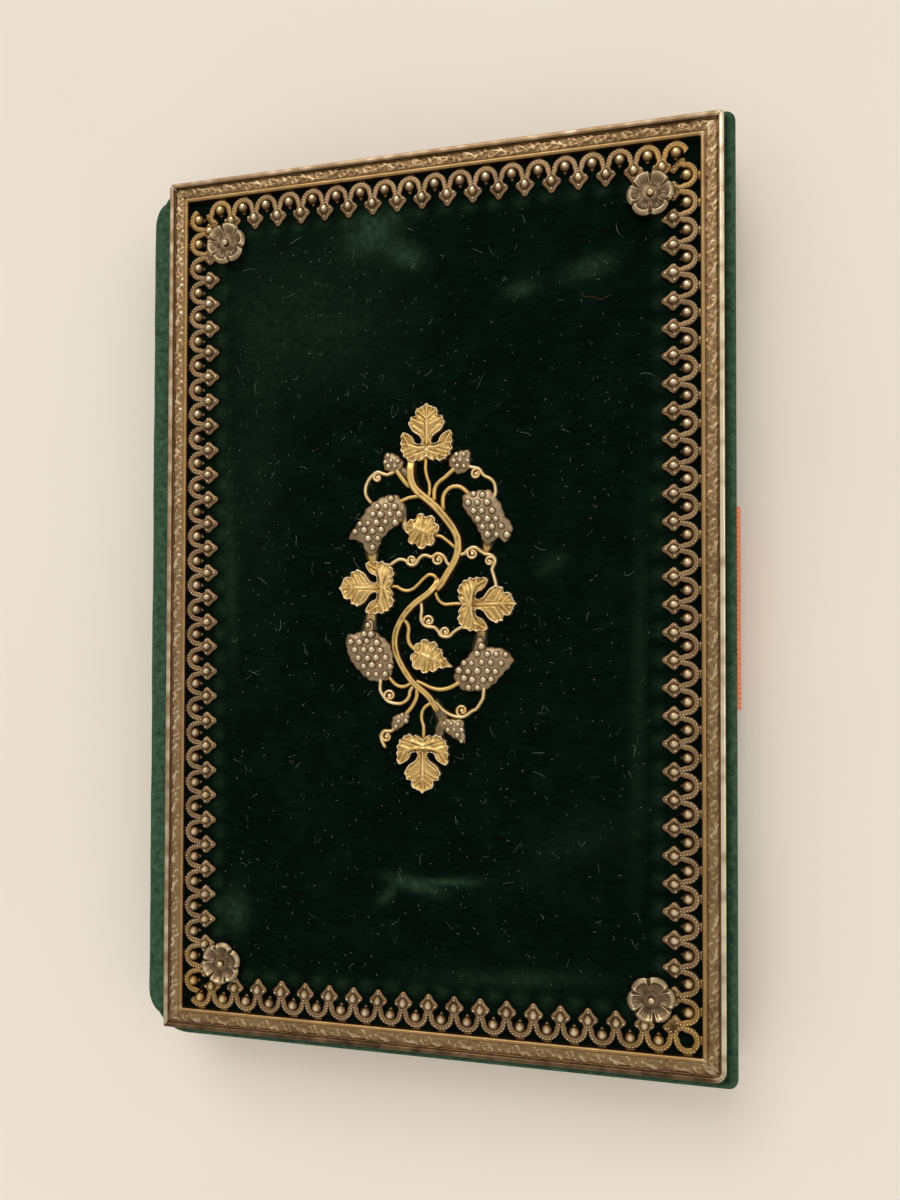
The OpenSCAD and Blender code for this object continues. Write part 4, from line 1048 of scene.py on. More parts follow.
@dataclass
class Border:
    """Four mitred strips: a moulding with an engraved scroll, and a pierced gallery of arches and finials.

    On a strip U runs along it, W inwards from its outer edge and Z up from the velvet.
    """

    moulding_w: float = 2.75
    band_h: float = 0.46
    band_w: float = 1.44
    outer_r: float = 0.33
    inner_r: float = 0.28
    seam: float = 0.04
    pitch: float = 3.33
    tab_l: float = 0.15
    tab_w: float = 1.3
    wall: float = 0.82
    pearl_r: float = 0.14
    pearl_step: float = 0.37
    bead_r: float = 0.68
    boss_r: float = 0.68
    finial_l: float = 2.78
    mitre_run: float = 4.0
    scroll: float = 0.08
    rosette_inset: float = 8.6
    rosette_shift: float = 0.6
    rosette_r: float = 2.8
    # Bent corners: side in X, side in Y, radius
    bends: tuple[tuple[float, ...], ...] = ((1, -1, 1.5), (-1, 1, 0.7), (1, 1, 0.5))
    # Leaves of the scroll: shift from a crest, and rise
    scroll_leaves: Pairs = (
        (0.55, 0.3), (0.95, -0.42), (1.3, 0.5), (1.75, -0.5), (2.2, 0.45))
    scroll_wave: float = 0.33
    # Half outline of a finial, across and inwards, and the middle that its plate rises to
    finial_half: Pairs = (
        (0.52, -0.1), (0.52, 0.2), (0.6, 0.5), (0.84, 0.76), (1.12, 0.98), (1.24, 1.28), (1.12, 1.62),
        (0.82, 1.92), (0.58, 2.2), (0.44, 2.46), (0.26, 2.68))
    finial_middle: tuple[float, float] = (0, 1.25)
    # Leg of an arch, from the finial's shoulder up to its bow
    arch_leg: Pairs = (
        (0.98, 1.2), (1.13, 1.1), (1.28, 0.9), (1.38, 0.6), (1.4, 0.3))

    def __post_init__(self) -> None:
        """Read the border's size and level from its CAD nodes."""
        self.half_w = cad_mm("border_right")[1][0]
        self.half_h = cad_mm("border_top")[1][1]
        self.z = cad_mm("border_top")[0][2]
        self.arch_r = self.pitch / 2 + 0.015
        self.arch_w = self.moulding_w + self.tab_l + self.arch_r

    def engraving(self, u: Array, w: Array) -> Array:
        """Height of the scroll from 0 to 1: a waving stem with a curl in each hollow, and leaves between.

        Each stroke is a list of points with a half width; the height is a round bead round the nearest one.

        Args:
            u: Places along the strip.
            w: Places inwards from its outer edge.

        Returns:
            The height at each place.
        """
        period = 2 * self.pitch
        t = np.linspace(0, 1, 60)
        wave = self.scroll_wave * np.sin(2 * np.pi * t)
        strokes = [np.column_stack([t * period, wave, np.full(60, 0.14)])]
        s = np.linspace(0, 1, 24)
        turn = np.radians(190 + 420 * s)
        r = 0.45 - 0.33 * s
        for side in (1, -1):
            crest = period * (0.25 if side > 0 else 0.75)
            curl = np.stack([crest + r * np.cos(turn), side * (r * np.sin(turn) - 0.16)], -1)
            strokes.append(np.column_stack([curl, 0.17 - 0.04 * s]))
            for k, (shift, rise) in enumerate(self.scroll_leaves):
                root = self.scroll_wave * np.sin(2 * np.pi * (crest + shift) / period)
                leaf_u = crest + shift + (0.5 + 0.05 * k) * s
                leaf_w = root + side * rise * np.sin(np.pi / 2 * s)
                strokes.append(np.column_stack([leaf_u, leaf_w, 0.19 * np.sin(np.pi * (0.12 + 0.8 * s))]))
        line = np.concatenate(strokes)
        line = np.concatenate([line + [k * period, 0, 0] for k in (-1, 0, 1)])
        du = (u % period)[..., None] - line[:, 0]
        dw = (w - self.band_w)[..., None] - line[:, 1]
        share = (du**2 + dw**2) / line[:, 2] ** 2
        return np.sqrt(np.clip(1 - 0.7 * share.min(-1), 0, 1))

    def moulding(self, length: float, bright: float, ground: float, polished: tuple[float, float]) -> Surface:
        """Carry the moulding's section along the strip and cut its ends to the mitre.

        The section is an outer fillet, the engraved band and an inner fillet. In the last stretch before an
        end, U is squeezed so that it stops at half the length less W.

        Args:
            length: Of the strip along its outer edge.
            bright: Wear of the outer fillet, high where it carries a painted reflection and low where it
                carries painted shade.
            ground: Wear of the band between its scrolls.
            polished: Stretches at the low and the high end that are polished bare.

        Returns:
            The moulding, with the yellower gilding as its second tone.
        """
        a = np.radians(np.linspace(205, -25, 10))
        flat = np.clip(1.5 * np.sin(a), -1, 1)
        foot = np.array([[0.02, 0], [0.02, 0.3]])
        outer = np.stack([0.02 + self.outer_r * (1 + np.cos(a)), 0.6 + 0.9 * self.outer_r * flat], -1)
        set_in = self.moulding_w - self.inner_r
        inner = np.stack([set_in + self.inner_r * np.cos(a), 0.58 + 0.8 * self.inner_r * np.sin(a)], -1)
        rows = 15
        across = np.linspace(2 * self.outer_r + 0.08, set_in - self.inner_r - 0.06, rows)
        band = np.stack([across, np.full(rows, self.band_h)], -1)
        band[[0, -1], 1] -= 0.12
        section = np.concatenate([foot, outer, band, inner, [[self.moulding_w, 0.3], [self.moulding_w, 0]]])
        place = np.arange(len(section))
        first = len(foot) + len(outer)
        on_band = (place >= first) & (place < first + rows)
        half = length / 2
        n = round(length / 0.12)
        u = np.linspace(-half + self.seam, half - self.seam, n)[:, None]
        w = section[None, :, 0]
        past = np.clip(np.abs(u) - (half - self.mitre_run), 0, None)
        squeezed = np.sign(u) * (np.abs(u) - past * w / self.mitre_run)
        raised = np.zeros((n, len(section)))
        raised[:, on_band] = self.engraving(squeezed[:, on_band], np.broadcast_to(w[:, on_band], (n, rows)))
        dents = 0.012 * np.sin(u * 1.7) * np.sin(u * 0.61 + 1) * ~on_band
        rise = section[None, :, 1] + self.scroll * raised + dents
        points = np.stack([squeezed, np.broadcast_to(w, squeezed.shape), rise], -1)
        ridge = smooth(section[:, 1], 0.5, 0.9)[None]
        # The outer fillet's wear is also painted light, broken along its length: a painted reflection on the
        # right, painted shade at the bottom
        uneven = 0.12 * np.sin(0.9 * u + 2 * np.sin(0.37 * u)) + 0.08 * np.sin(2.7 * u + 1)
        outer_worn_and_lit = 0.3 + (bright - 0.3 + bright * uneven) * ridge
        edge = np.where(place[None] < first, outer_worn_and_lit, 0.26 + 0.3 * ridge)
        # Painted glints: the raised strokes of the scroll are paler in a wandering wave along the strip
        glint = smooth(np.sin(5.1 * squeezed + 3 * np.sin(1.7 * squeezed) + 4 * w), 0.1, 0.9)
        scrolled = ground + (0.06 + 0.3 * glint) * raised - 0.16 * hump(raised, 0.4, 0.2)
        wear = np.where(on_band[None], scrolled, edge)
        for end, run in zip((-1, 1), polished):
            bare = 0.7 * smooth(end * u, half - run - 1.5, half - 0.3 * run) * (run > 0)
            wear = np.maximum(wear, bare * (0.45 + 0.55 * raised * on_band + 0.55 * ~on_band))
        surface = loft(points, wear)
        second = np.where(place >= first + rows, 0.55, np.where(on_band, 0.15, 0.0))
        surface.second = np.broadcast_to(second, (n, len(section))).reshape(-1)
        return surface

    def arch(self) -> Surface:
        """One arch about its crown's middle: a round band that runs down both legs to the shoulders of the
        finials, with a row of pearls along its outer half."""
        mid_r = self.arch_r - self.wall / 2
        turn = np.radians(np.linspace(0, 180, 21))
        leg = np.array(self.arch_leg)
        bow = mid_r * circle(turn) * [1, -1]
        path = np.concatenate([leg, bow, (leg * [-1, 1])[::-1]])
        across = square_to(path)
        half = np.interp(path[:, 1], [-1, 0, 0.5, 1.2], [self.wall / 2, self.wall / 2, 0.32, 0.26])
        a = np.radians(np.linspace(0, 180, 7))
        ring = path[:, None] + (half[:, None] * np.cos(a))[..., None] * across[:, None]
        rise = 0.5 * np.clip(1.8 * np.sin(a), 0, 1) ** 0.7
        band = loft(lifted(ring, rise), 0.14 + 0.26 * np.sin(a))
        run = run_along(path)
        at = np.arange(0.1, run[-1], self.pearl_step)
        outward = path - 0.15 * across * np.sign(across[len(path) // 2, 1])
        pearl = dome(self.pearl_r, below=10, sides=6, rings=4, wear=(0.2, 0.75))
        return joined([band, repeated(pearl, lifted(points_at(at, run, outward), 0.48))])

    def finial(self) -> Surface:
        """One pointed finial below the meeting of two arches: a plate with two shoulders and a tip.

        Rings go from the outline to its middle and rise on the way; knobs mark the shoulders and the tip.
        """
        half = [list(point) for point in self.finial_half]
        other = [[-x, w] for x, w in half[::-1]]
        outline = spline(half + [[0, self.finial_l]] + other + [[0, -0.15]], 3, True)
        q = np.array([0, 0, 0.06, 0.15, 0.3, 0.5, 0.8])[:, None, None]
        rise = np.array([0, 0.2, 0.32, 0.4, 0.46, 0.5, 0.52])[:, None]
        worn = np.array([0.05, 0.22, 0.42, 0.4, 0.3, 0.2, 0.14])[:, None]
        plan = outline[None] * (1 - q) + np.array(self.finial_middle) * q
        knobs = repeated(
            dome(1.0, below=12, sides=10, rings=5, wear=(0.15, 0.7)),
            np.array([[0.86, 1.2, 0.4], [-0.86, 1.2, 0.4], [0, 2.28, 0.4]]), np.array([0.21, 0.21, 0.22]))
        return joined([loft(lifted(plan, rise), worn), knobs])

    def strip(self, side: Side) -> Surface:
        """Make one strip and move it to its side.

        Args:
            side: Which side.

        Returns:
            The strip, with the yellower gilding near the corners as its second tone.
        """
        _, turn, way_out, first, bright, ground, polished = side.value
        is_long = way_out[0] != 0
        length = 2 * (self.half_h if is_long else self.half_w)
        shift = self.rosette_shift if is_long else 0.0
        crowns = first + np.arange(-20, 21) * self.pitch
        crowns = crowns[np.abs(crowns) < length / 2 - self.arch_w + 0.4]
        ends = np.append(crowns - self.pitch / 2, crowns[-1] + self.pitch / 2)
        boss_w = self.arch_w + 0.48 * self.finial_l
        bead_w = self.arch_w - (self.arch_r - self.wall) + 0.9 * self.bead_r

        def clear(u: Array, w: float, r: float) -> Array:
            """Places whose feature of radius r stands clear of the mitres and of a rosette."""
            away = np.hypot(length / 2 - np.abs(u) - self.rosette_inset - shift,
                            w - self.rosette_inset - self.rosette_shift + shift)
            return u[(np.abs(u) + w + r < length / 2) & (away > self.rosette_r + r - 0.4)]

        def on_strip(part: Surface, u: Array, w: float = 0.0, z: float = 0.0) -> Surface:
            """Copies of a part along the strip at one distance in and one height."""
            return repeated(part, lifted(lifted(u[:, None], w), z))

        tab_end = self.moulding_w + self.tab_l + 0.5
        tab = flat_bar(np.linspace((0, self.moulding_w - 0.6), (0, tab_end), 9), self.tab_w, 0.26)
        tab.wear = 0.5 * tab.wear
        stem_end = bead_w + self.bead_r + 0.2
        tongue = np.linspace((0, bead_w - self.bead_r - 0.6), (0, stem_end), 11)
        stem = flat_bar(tongue, np.interp(tongue[:, 1], [bead_w, stem_end], [1.3, 0.45]), 0.36)
        stem.wear = 0.35 * stem.wear
        bead = knob(self.bead_r * np.array([1, 1, 0.75]), wear=(0.24, 0.9), bare=0.74)
        boss = knob(self.boss_r * np.array([0.9, 1.1, 0.75]), wear=(0.22, 0.85), bare=0.72, sides=14)
        gallery = joined([
            on_strip(self.arch(), crowns, self.arch_w),
            on_strip(tab, crowns),
            on_strip(stem, clear(crowns, bead_w, 0.3)),
            on_strip(bead, clear(crowns, bead_w, self.bead_r), bead_w, 0.6 * self.bead_r),
            on_strip(self.finial(), ends, self.arch_w),
            on_strip(boss, clear(ends, boss_w, self.boss_r), boss_w, 0.4),
        ])
        beyond = np.abs(gallery.points[:, 0]) - (length / 2 - self.seam - gallery.points[:, 1])
        gallery.points[:, 0] -= np.sign(gallery.points[:, 0]) * np.clip(beyond, 0, None)
        moulding = self.moulding(length, bright, ground, polished)
        whole = joined([moulding, trimmed(gallery, beyond < 0)])
        placed = whole.moved(turn, (way_out[0] * self.half_w, way_out[1] * self.half_h, self.z))
        x, y = np.abs(placed.points[len(moulding.points):, :2]).T
        yellow = 0.1 + 0.8 * (1 - smooth(np.hypot(self.half_w - x, self.half_h - y), 6, 15))
        placed.second = np.concatenate([moulding.second, yellow])
        placed.points = self.bent_corners(placed.points)
        return placed

    def bent_corners(self, points: Array) -> Array:
        """Round the frame's outer corners where they have been bent.

        Inside a corner's square, a point dx and dy from the square's inner corner goes to the radius
        max(dx, dy).
        """
        points = points.copy()
        for sx, sy, r in self.bends:
            dx = sx * points[:, 0] - (self.half_w - r)
            dy = sy * points[:, 1] - (self.half_h - r)
            inside = (dx > 0) & (dy > 0)
            m = np.maximum(dx, dy)[inside]
            a = np.pi / 4 * (1 - (dx - dy)[inside] / m)
            points[inside, 0] = sx * (self.half_w - r + m * np.cos(a))
            points[inside, 1] = sy * (self.half_h - r + m * np.sin(a))
        return points

    def build(self) -> None:
        """Make the four strips."""
        for side in Side:
            node = side.value[0]
            put("gallery_" + node, self.strip(side), Look.BORDER, Body.FRONT, [node])


@dataclass
class Rosettes:
    """Four flowers of six dished petals round a bead."""

    radius: float = 2.8
    petals: int = 6
    bead_r: float = 0.45
    bead_z: float = 0.62
    # Rings of a flower as shares of its radius; the last two go down to the velvet
    rings: tuple[float, ...] = (
        0.08, 0.2, 0.3, 0.38, 0.48, 0.58, 0.68, 0.76, 0.83, 0.88, 0.93, 0.97, 1.0, 1.0, 0.98)
    turns: tuple[tuple[str, float], ...] = (
        ("rosette_top_left", 12), ("rosette_top_right", 0), ("rosette_bottom_left", 20),
        ("rosette_bottom_right", 8))

    def flower(self) -> Surface:
        """Height over radius and angle: each petal is a dish with a rolled rim, and clefts lie between them.

        The outline is radius x (0.84 + 0.16 lobe^0.5), where lobe = |cos(petals/2 x angle)|.
        """
        a = np.linspace(0, 2 * np.pi, 144, endpoint=False)[None]
        lobe = np.abs(np.cos(self.petals / 2 * a))
        edge = self.radius * (0.84 + 0.16 * lobe**0.5)
        t = np.array(self.rings)[:, None]
        rim = hump(t, 0.86, 0.11) * smooth(lobe, 0.0, 0.5)
        fold = hump(lobe, 0.38, 0.2) * smooth(t, 0.35, 0.75)
        cleft = (1 - smooth(lobe, 0, 0.16)) * smooth(t, 0.45, 0.9)
        lines = np.cos(self.petals * 5 * a) * smooth(t, 0.35, 0.55) * (1 - smooth(t, 0.7, 0.85))
        dish = hump(t, 0.56, 0.17) * smooth(lobe, 0.3, 0.9)
        cup = 0.4 + 0.18 * t**2 + 0.34 * rim + 0.18 * fold - 0.16 * cleft - 0.12 * dish + 0.02 * lines
        cup = cup + 0.16 * hump(t, 0.25, 0.06)
        last = np.arange(len(t))[:, None] >= len(t) - 2
        z = np.clip(np.where(last, 0.0, np.where(t > 0.96, np.minimum(cup, 0.55), cup)), 0.0, 0.98)
        points = lifted((edge * t)[..., None] * circle(a), z)
        worn = 0.42 + 0.36 * rim + 0.22 * fold - 0.26 * cleft + 0.1 * lines - 0.16 * dish
        worn = worn - 0.2 * hump(t, 0.36, 0.08)
        bead = dome(self.bead_r, below=40, sides=14, rings=8).moved(0, (0, 0, self.bead_z))
        return joined([loft(points, np.clip(worn, 0, 1)), bead])

    def build(self) -> None:
        """Make the four rosettes where their CAD nodes stand."""
        for node, turn in self.turns:
            low, high = cad_mm(node)
            at = ((low[0] + high[0]) / 2, (low[1] + high[1]) / 2, low[2])
            flower = self.flower().moved(turn, at)
            put("flower_" + node, flower, Look.ROSETTE, Body.FRONT, [node])
        dress("rosette_pins", Look.ROSETTE)


@dataclass(frozen=True)
class LeafShape:
    """Half outline of a leaf, across and along, with the point of the blade that each outline point rises to.

    Veins are lines from one point to another; those of the other half mirror them.
    """

    rises: Pairs
    half: tuple[tuple[float, float, int], ...]
    veins: tuple[tuple[float, float, float, float], ...]
    vein_w: float = 0.12

    def surface(self, height: float) -> Surface:
        """Rings from the outline to the middle of each lobe.

        A ring at share q lies at outline x (1 - q) + rise x q, so its depth in from the outline is q times
        the way between them. By depth the height goes up to a rolled rim, dips into a dish and rises again.
        A vein is a bell-shaped ridge over the distance to its line, with a furrow beside it.
        """
        half = np.array(self.half)
        other = half[-2:0:-1] * [-1, 1, 1]
        rises = np.array(self.rises)
        edge = spline(np.concatenate([half[:, :2], other[:, :2]]), 5, True)
        target = np.concatenate([rises[half[:, 2].astype(int)], rises[other[:, 2].astype(int)] * [-1, 1]])
        t = (np.arange(5) / 5)[None, :, None]
        target = (target[:, None] * (1 - t) + np.roll(target, -1, 0)[:, None] * t).reshape(-1, 2)
        near = [0, 0, 0.02, 0.04, 0.06, 0.09, 0.12]
        q = np.concatenate([near, np.linspace(0.16, 0.9, 14), [0.96, 1.0]])[:, None]
        plan = edge[None] * (1 - q[..., None]) + target[None] * q[..., None]
        lines = np.array(self.veins)
        lines = np.concatenate([lines, lines * [-1, 1, -1, 1]])
        start, way = lines[:, :2], lines[:, 2:] - lines[:, :2]
        offset = plan[..., None, :] - start
        share = np.clip((offset * way).sum(-1) / (way**2).sum(-1), 0, 1)
        away = np.linalg.norm(offset - share[..., None] * way, axis=-1).min(-1)
        depth = q * np.linalg.norm(edge - target, axis=1)[None]
        inside = smooth(depth, 0.16, 0.4)
        ridge = hump(away, 0, self.vein_w) * inside
        furrow = hump(away, 2.2 * self.vein_w, 1.1 * self.vein_w) * inside
        base = np.interp(depth, [0, 0.05, 0.17, 0.38, 0.7, 1.4, 2.2], [0.3, 0.6, 0.84, 0.6, 0.6, 0.76, 0.84])
        z = height * (base + 0.12 * ridge - 0.07 * furrow)
        z[0] = 0
        worn = 0.46 + 0.42 * hump(depth, 0.17, 0.11) + 0.14 * ridge - 0.2 * furrow
        worn = worn - 0.1 * hump(depth, 0.38, 0.12)
        worn[0] = 0
        return loft(lifted(plan, z), np.clip(worn, 0, 1), True, "first")


@dataclass
class VineMount:
    """The vine: stems, stalks, webs, tendrils and curls, leaves and bunches.

    Points are from the cover's middle.
    """

    stem_w: float = 1.55
    stem_h: float = 0.95
    stalk_w: float = 0.72
    stalk_h: float = 0.6
    tendril_w: float = 0.6
    leaf_h: float = 1.05
    grape_r: float = 0.54
    berry_r: float = 0.38
    plate_t: float = 0.45
    fullness: float = 1.07
    large: LeafShape = LeafShape(
        ((0, 1.7), (1.9, 0.75), (2.5, 2), (0, 5.2)),
        ((0, 0.4, 0), (0.4, 0.1, 1), (0.85, -0.1, 1), (1.2, 0.05, 1), (1.7, -0.28, 1), (2.15, -0.05, 1),
         (2.5, 0, 1), (2.75, 0.4, 1), (3.15, 0.6, 1), (3.2, 1.05, 0), (3.5, 1.4, 2), (3.35, 1.9, 2),
         (3.55, 2.35, 2), (3.35, 2.85, 2), (3.45, 3.3, 2), (3.15, 3.8, 2), (2.75, 3.75, 2),
         (2.35, 3.55, 2), (1.95, 3.3, 2), (1.65, 2.9, 2), (1.45, 2.45, 2), (1.2, 2.2, 0), (0.9, 2.2, 0),
         (0.68, 2.5, 0), (0.8, 2.95, 0), (1.25, 3.3, 3), (1.7, 3.6, 3), (2.05, 3.95, 3), (2.3, 4.4, 3),
         (2.5, 4.85, 3), (2.25, 5.2, 3), (2.2, 5.65, 3), (1.8, 5.7, 3), (1.5, 5.85, 3), (1.55, 6.3, 3),
         (1.35, 6.75, 3), (1, 6.85, 3), (0.75, 7, 3), (0.35, 7.15, 3), (0, 7.45, 3)),
        ((0, 0.5, 0, 7), (0, 3.1, 1.75, 4.5), (0, 4.3, 1.85, 5.4), (0, 5.4, 1.1, 6.4), (0, 1.6, 1, 1.6),
         (1, 1.6, 2.2, 2), (2.2, 2, 3.1, 3.4), (2.2, 2, 3.4, 2.3), (1.6, 1.8, 3.2, 1.3),
         (0, 1.3, 1.4, 0.75), (1.4, 0.75, 2.7, 0.4), (1, 0.9, 1.7, 0), (0.5, 1.1, 0.8, 0.2)))
    round_leaf: LeafShape = LeafShape(
        ((0, 1.2), (0, 2.2), (0, 3.4)),
        ((0, 0.35, 0), (0.5, -0.05, 0), (1, -0.1, 0), (1.5, 0.2, 0), (1.6, 0.7, 0), (2.1, 0.95, 1),
         (2.35, 1.5, 1), (2.1, 1.95, 1), (1.9, 2.3, 1), (2.2, 2.75, 1), (1.95, 3.25, 2), (1.4, 3.3, 2),
         (1.1, 3.5, 2), (1, 4.05, 2), (0.55, 4.25, 2), (0.3, 4.45, 2), (0, 4.85, 2)),
        ((0, 0.5, 0, 4.5), (0, 1.2, 1.5, 0.4), (0, 1.7, 2.1, 1.5), (0, 2.2, 1.9, 2.8), (0, 3, 0.9, 3.9)))
    heart_leaf: LeafShape = LeafShape(
        ((0, 1.3), (0, 2.6), (0, 4.2)),
        ((0, 0.25, 0), (0.5, -0.1, 0), (1.1, 0, 0), (1.4, 0.45, 0), (1.9, 0.65, 0), (2.15, 1.25, 0),
         (1.95, 1.75, 1), (2.25, 2.2, 1), (2, 2.8, 1), (1.6, 3, 1), (1.65, 3.5, 1), (1.2, 3.9, 1),
         (0.85, 4, 2), (0.8, 4.5, 2), (0.4, 4.9, 2), (0, 5.7, 2)),
        ((0, 0.5, 0, 5.3), (0, 1.1, 1.6, 0.7), (0, 1.7, 1.9, 1.6), (0, 2.2, 2, 2.6), (0, 3, 1.4, 3.6),
         (0, 3.8, 0.7, 4.4)))
    stem_upper: tuple = (
        (-1.7, 18.6), (-2, 17.5), (-2.1, 16.3), (-2, 15.2), (-1.6, 14.2), (-0.8, 13.3), (0.2, 12.5),
        (1.2, 11.6), (2.1, 10.6), (2.9, 9.6), (3.6, 8.6), (4.1, 7.5), (4.2, 6.4), (4, 5.2), (3.5, 4.1),
        (2.8, 3), (2.2, 2), (1.3, 0.8))
    stem_lower: tuple = (
        (1.2, 2.6), (1.4, 2.1), (1.1, 1.4), (0.5, 0.7), (-0.3, 0.1), (-1.3, -0.6), (-2.2, -1.4),
        (-3, -2.4), (-3.6, -3.5), (-4, -4.6), (-4.1, -5.8), (-3.9, -7), (-3.4, -8.2), (-2.7, -9.4),
        (-1.9, -10.5), (-1.1, -11.3), (-0.2, -12), (0.6, -12.8), (1.1, -13.6), (1.7, -14.6))
    stalks: tuple = (
        ((-0.05, 18), (-0.15, 16.6), (0.05, 15.5), (0.35, 14.6), (0.4, 13.6), (0.2, 12.6)),
        ((3.9, 16.5), (3.2, 16), (2.4, 15.3), (1.7, 14.8), (1.2, 14.2), (1, 13.4), (1, 12.2)),
        ((5.6, 13), (4.6, 13.9), (3.8, 14.1), (3, 13.9), (2.4, 13.3), (2.15, 12.5), (2.2, 11)),
        ((-0.6, 13.1), (-1.6, 13), (-2.3, 12.9), (-2.9, 12.7), (-3.8, 12.3)),
        ((-2.2, 14.2), (-3, 15.1), (-3.8, 16.2), (-4.2, 16.8)),
        ((1, 8), (1.9, 7.8), (2.5, 7.4), (3.1, 6.9), (3.9, 6.2)),
        ((-4.8, 1.5), (-3.9, 1.5), (-3.3, 1.15), (-2.5, 0.95), (-1.7, 1.2), (-1, 1.8), (-0.3, 2.5),
         (0.4, 2.95), (1.1, 2.75), (1.4, 2.2)),
        ((1.2, 0.8), (1.4, 0.1), (1.8, -0.5), (2.4, -0.85), (3.1, -0.85), (3.8, -0.8), (4.8, -0.85)),
        ((-3.6, -2.9), (-2.9, -2.9), (-2.5, -3.3), (-2.3, -4), (-2.4, -5), (-2.2, -5.8), (-1.7, -6.4),
         (-1, -7)),
        ((-5, -10), (-4.2, -10.9), (-3.5, -11.3), (-2.8, -11.3), (-2.2, -11), (-1.7, -10.5)),
        ((-1.5, -10.6), (-0.6, -10.9), (0.5, -11.4), (1.5, -11.65), (2.5, -11.6), (3.4, -11.3),
         (4.6, -10.6)),
        ((-1.2, -11.4), (-1.2, -12.5), (-1.5, -13.3), (-2, -14.1), (-2.9, -15.1)),
        ((-0.3, -18), (-0.3, -16.4), (-0.55, -15.5), (-0.5, -14.6), (-0.1, -13.9), (0.8, -13.3)))
    stalk_share: tuple = (0.85, 1, 1, 0.9, 1.15, 0.85, 0.85, 0.85, 1, 0.9, 1, 1, 0.85)
    webs: tuple = (
        ((-7.5, 7.8), (-7.3, 5.3), 1.1, 0.5), ((8, 8), (7.8, 6.4), 0.8, 0.5),
        ((-7.8, -4.6), (-7.4, -2), 1, 0.5), ((6.9, -6.6), (7.1, -4.2), 0.9, 0.5),
        ((1.1, -13.4), (2.6, -16.2), 0.5, 1), ((-3.9, 16.8), (-2.2, 15.6), 0.6, 0.6),
        ((-3.2, 11.6), (-3, 9.6), 0.45, 0.4), ((1.8, -16.6), (1.6, -17.8), 0.6, 0.6))
    tendrils: tuple = (
        ((-4.2, 16.4), (-5.2, 16), (-5.9, 16.2), (-6.5, 16.4), (-7.1, 16.1), (-7.7, 15.5), (-8.1, 14.7),
         (-8.2, 13.9), (-8, 13.2), (-7.3, 12.3)),
        ((5.2, 16.6), (6.4, 16.3), (6.9, 16.1), (7.2, 15.6), (7.6, 15.2), (8.2, 14.9), (8.7, 14.4),
         (8.9, 13.7), (8.9, 12.9), (8.5, 12.2)),
        ((-5, 4.2), (-3.9, 4.9), (-3.3, 5), (-2.7, 4.8), (-2.4, 4.4), (-1.8, 4.2), (-1.3, 4.5), (-1, 5),
         (-0.5, 5.4), (0.1, 5.4), (0.7, 5.2), (1.4, 5.6), (2.1, 5.4), (2.5, 4.9), (2.8, 4.3), (3.5, 3.9)),
        ((4.1, 5.4), (4.9, 5.5), (5.3, 5.9), (5.9, 6.25), (6.5, 6.2), (7, 5.8), (7.6, 5.4), (8.2, 5.3),
         (8.7, 5), (8.9, 4.5), (8.7, 3.9), (8.5, 3.4), (8.7, 2.7), (8.9, 2), (9.1, 1)),
        ((-0.7, -0.4), (-0.6, -1.6), (-0.7, -2.4), (-0.6, -3), (-0.2, -3.5), (0.4, -3.7), (1.1, -3.8),
         (1.6, -4.3), (1.9, -4.8), (2.5, -5), (3.1, -4.9), (3.6, -4.4), (4.2, -4), (5, -3.6)),
        ((-6, -10.2), (-6.1, -11.7), (-5.7, -12.5), (-5.2, -13.1), (-4.6, -13.4), (-4, -13.5),
         (-3.3, -13.5), (-2.6, -13.1), (-2.2, -12.5), (-2.1, -11.9), (-1.6, -11.2)),
        ((0.7, -12.8), (1.6, -13.6), (2.3, -14.3), (3.1, -14.8), (4, -15.1), (4.8, -15.1), (5.4, -14.8),
         (5.9, -14.4), (6.5, -14.1), (7, -13.4), (7.4, -12.6), (7.5, -11.2)),
        ((-4, -16.4), (-4.5, -17), (-5, -17.05), (-5.6, -17.1), (-5.95, -17.7), (-5.8, -18.4),
         (-5.3, -19.3)))
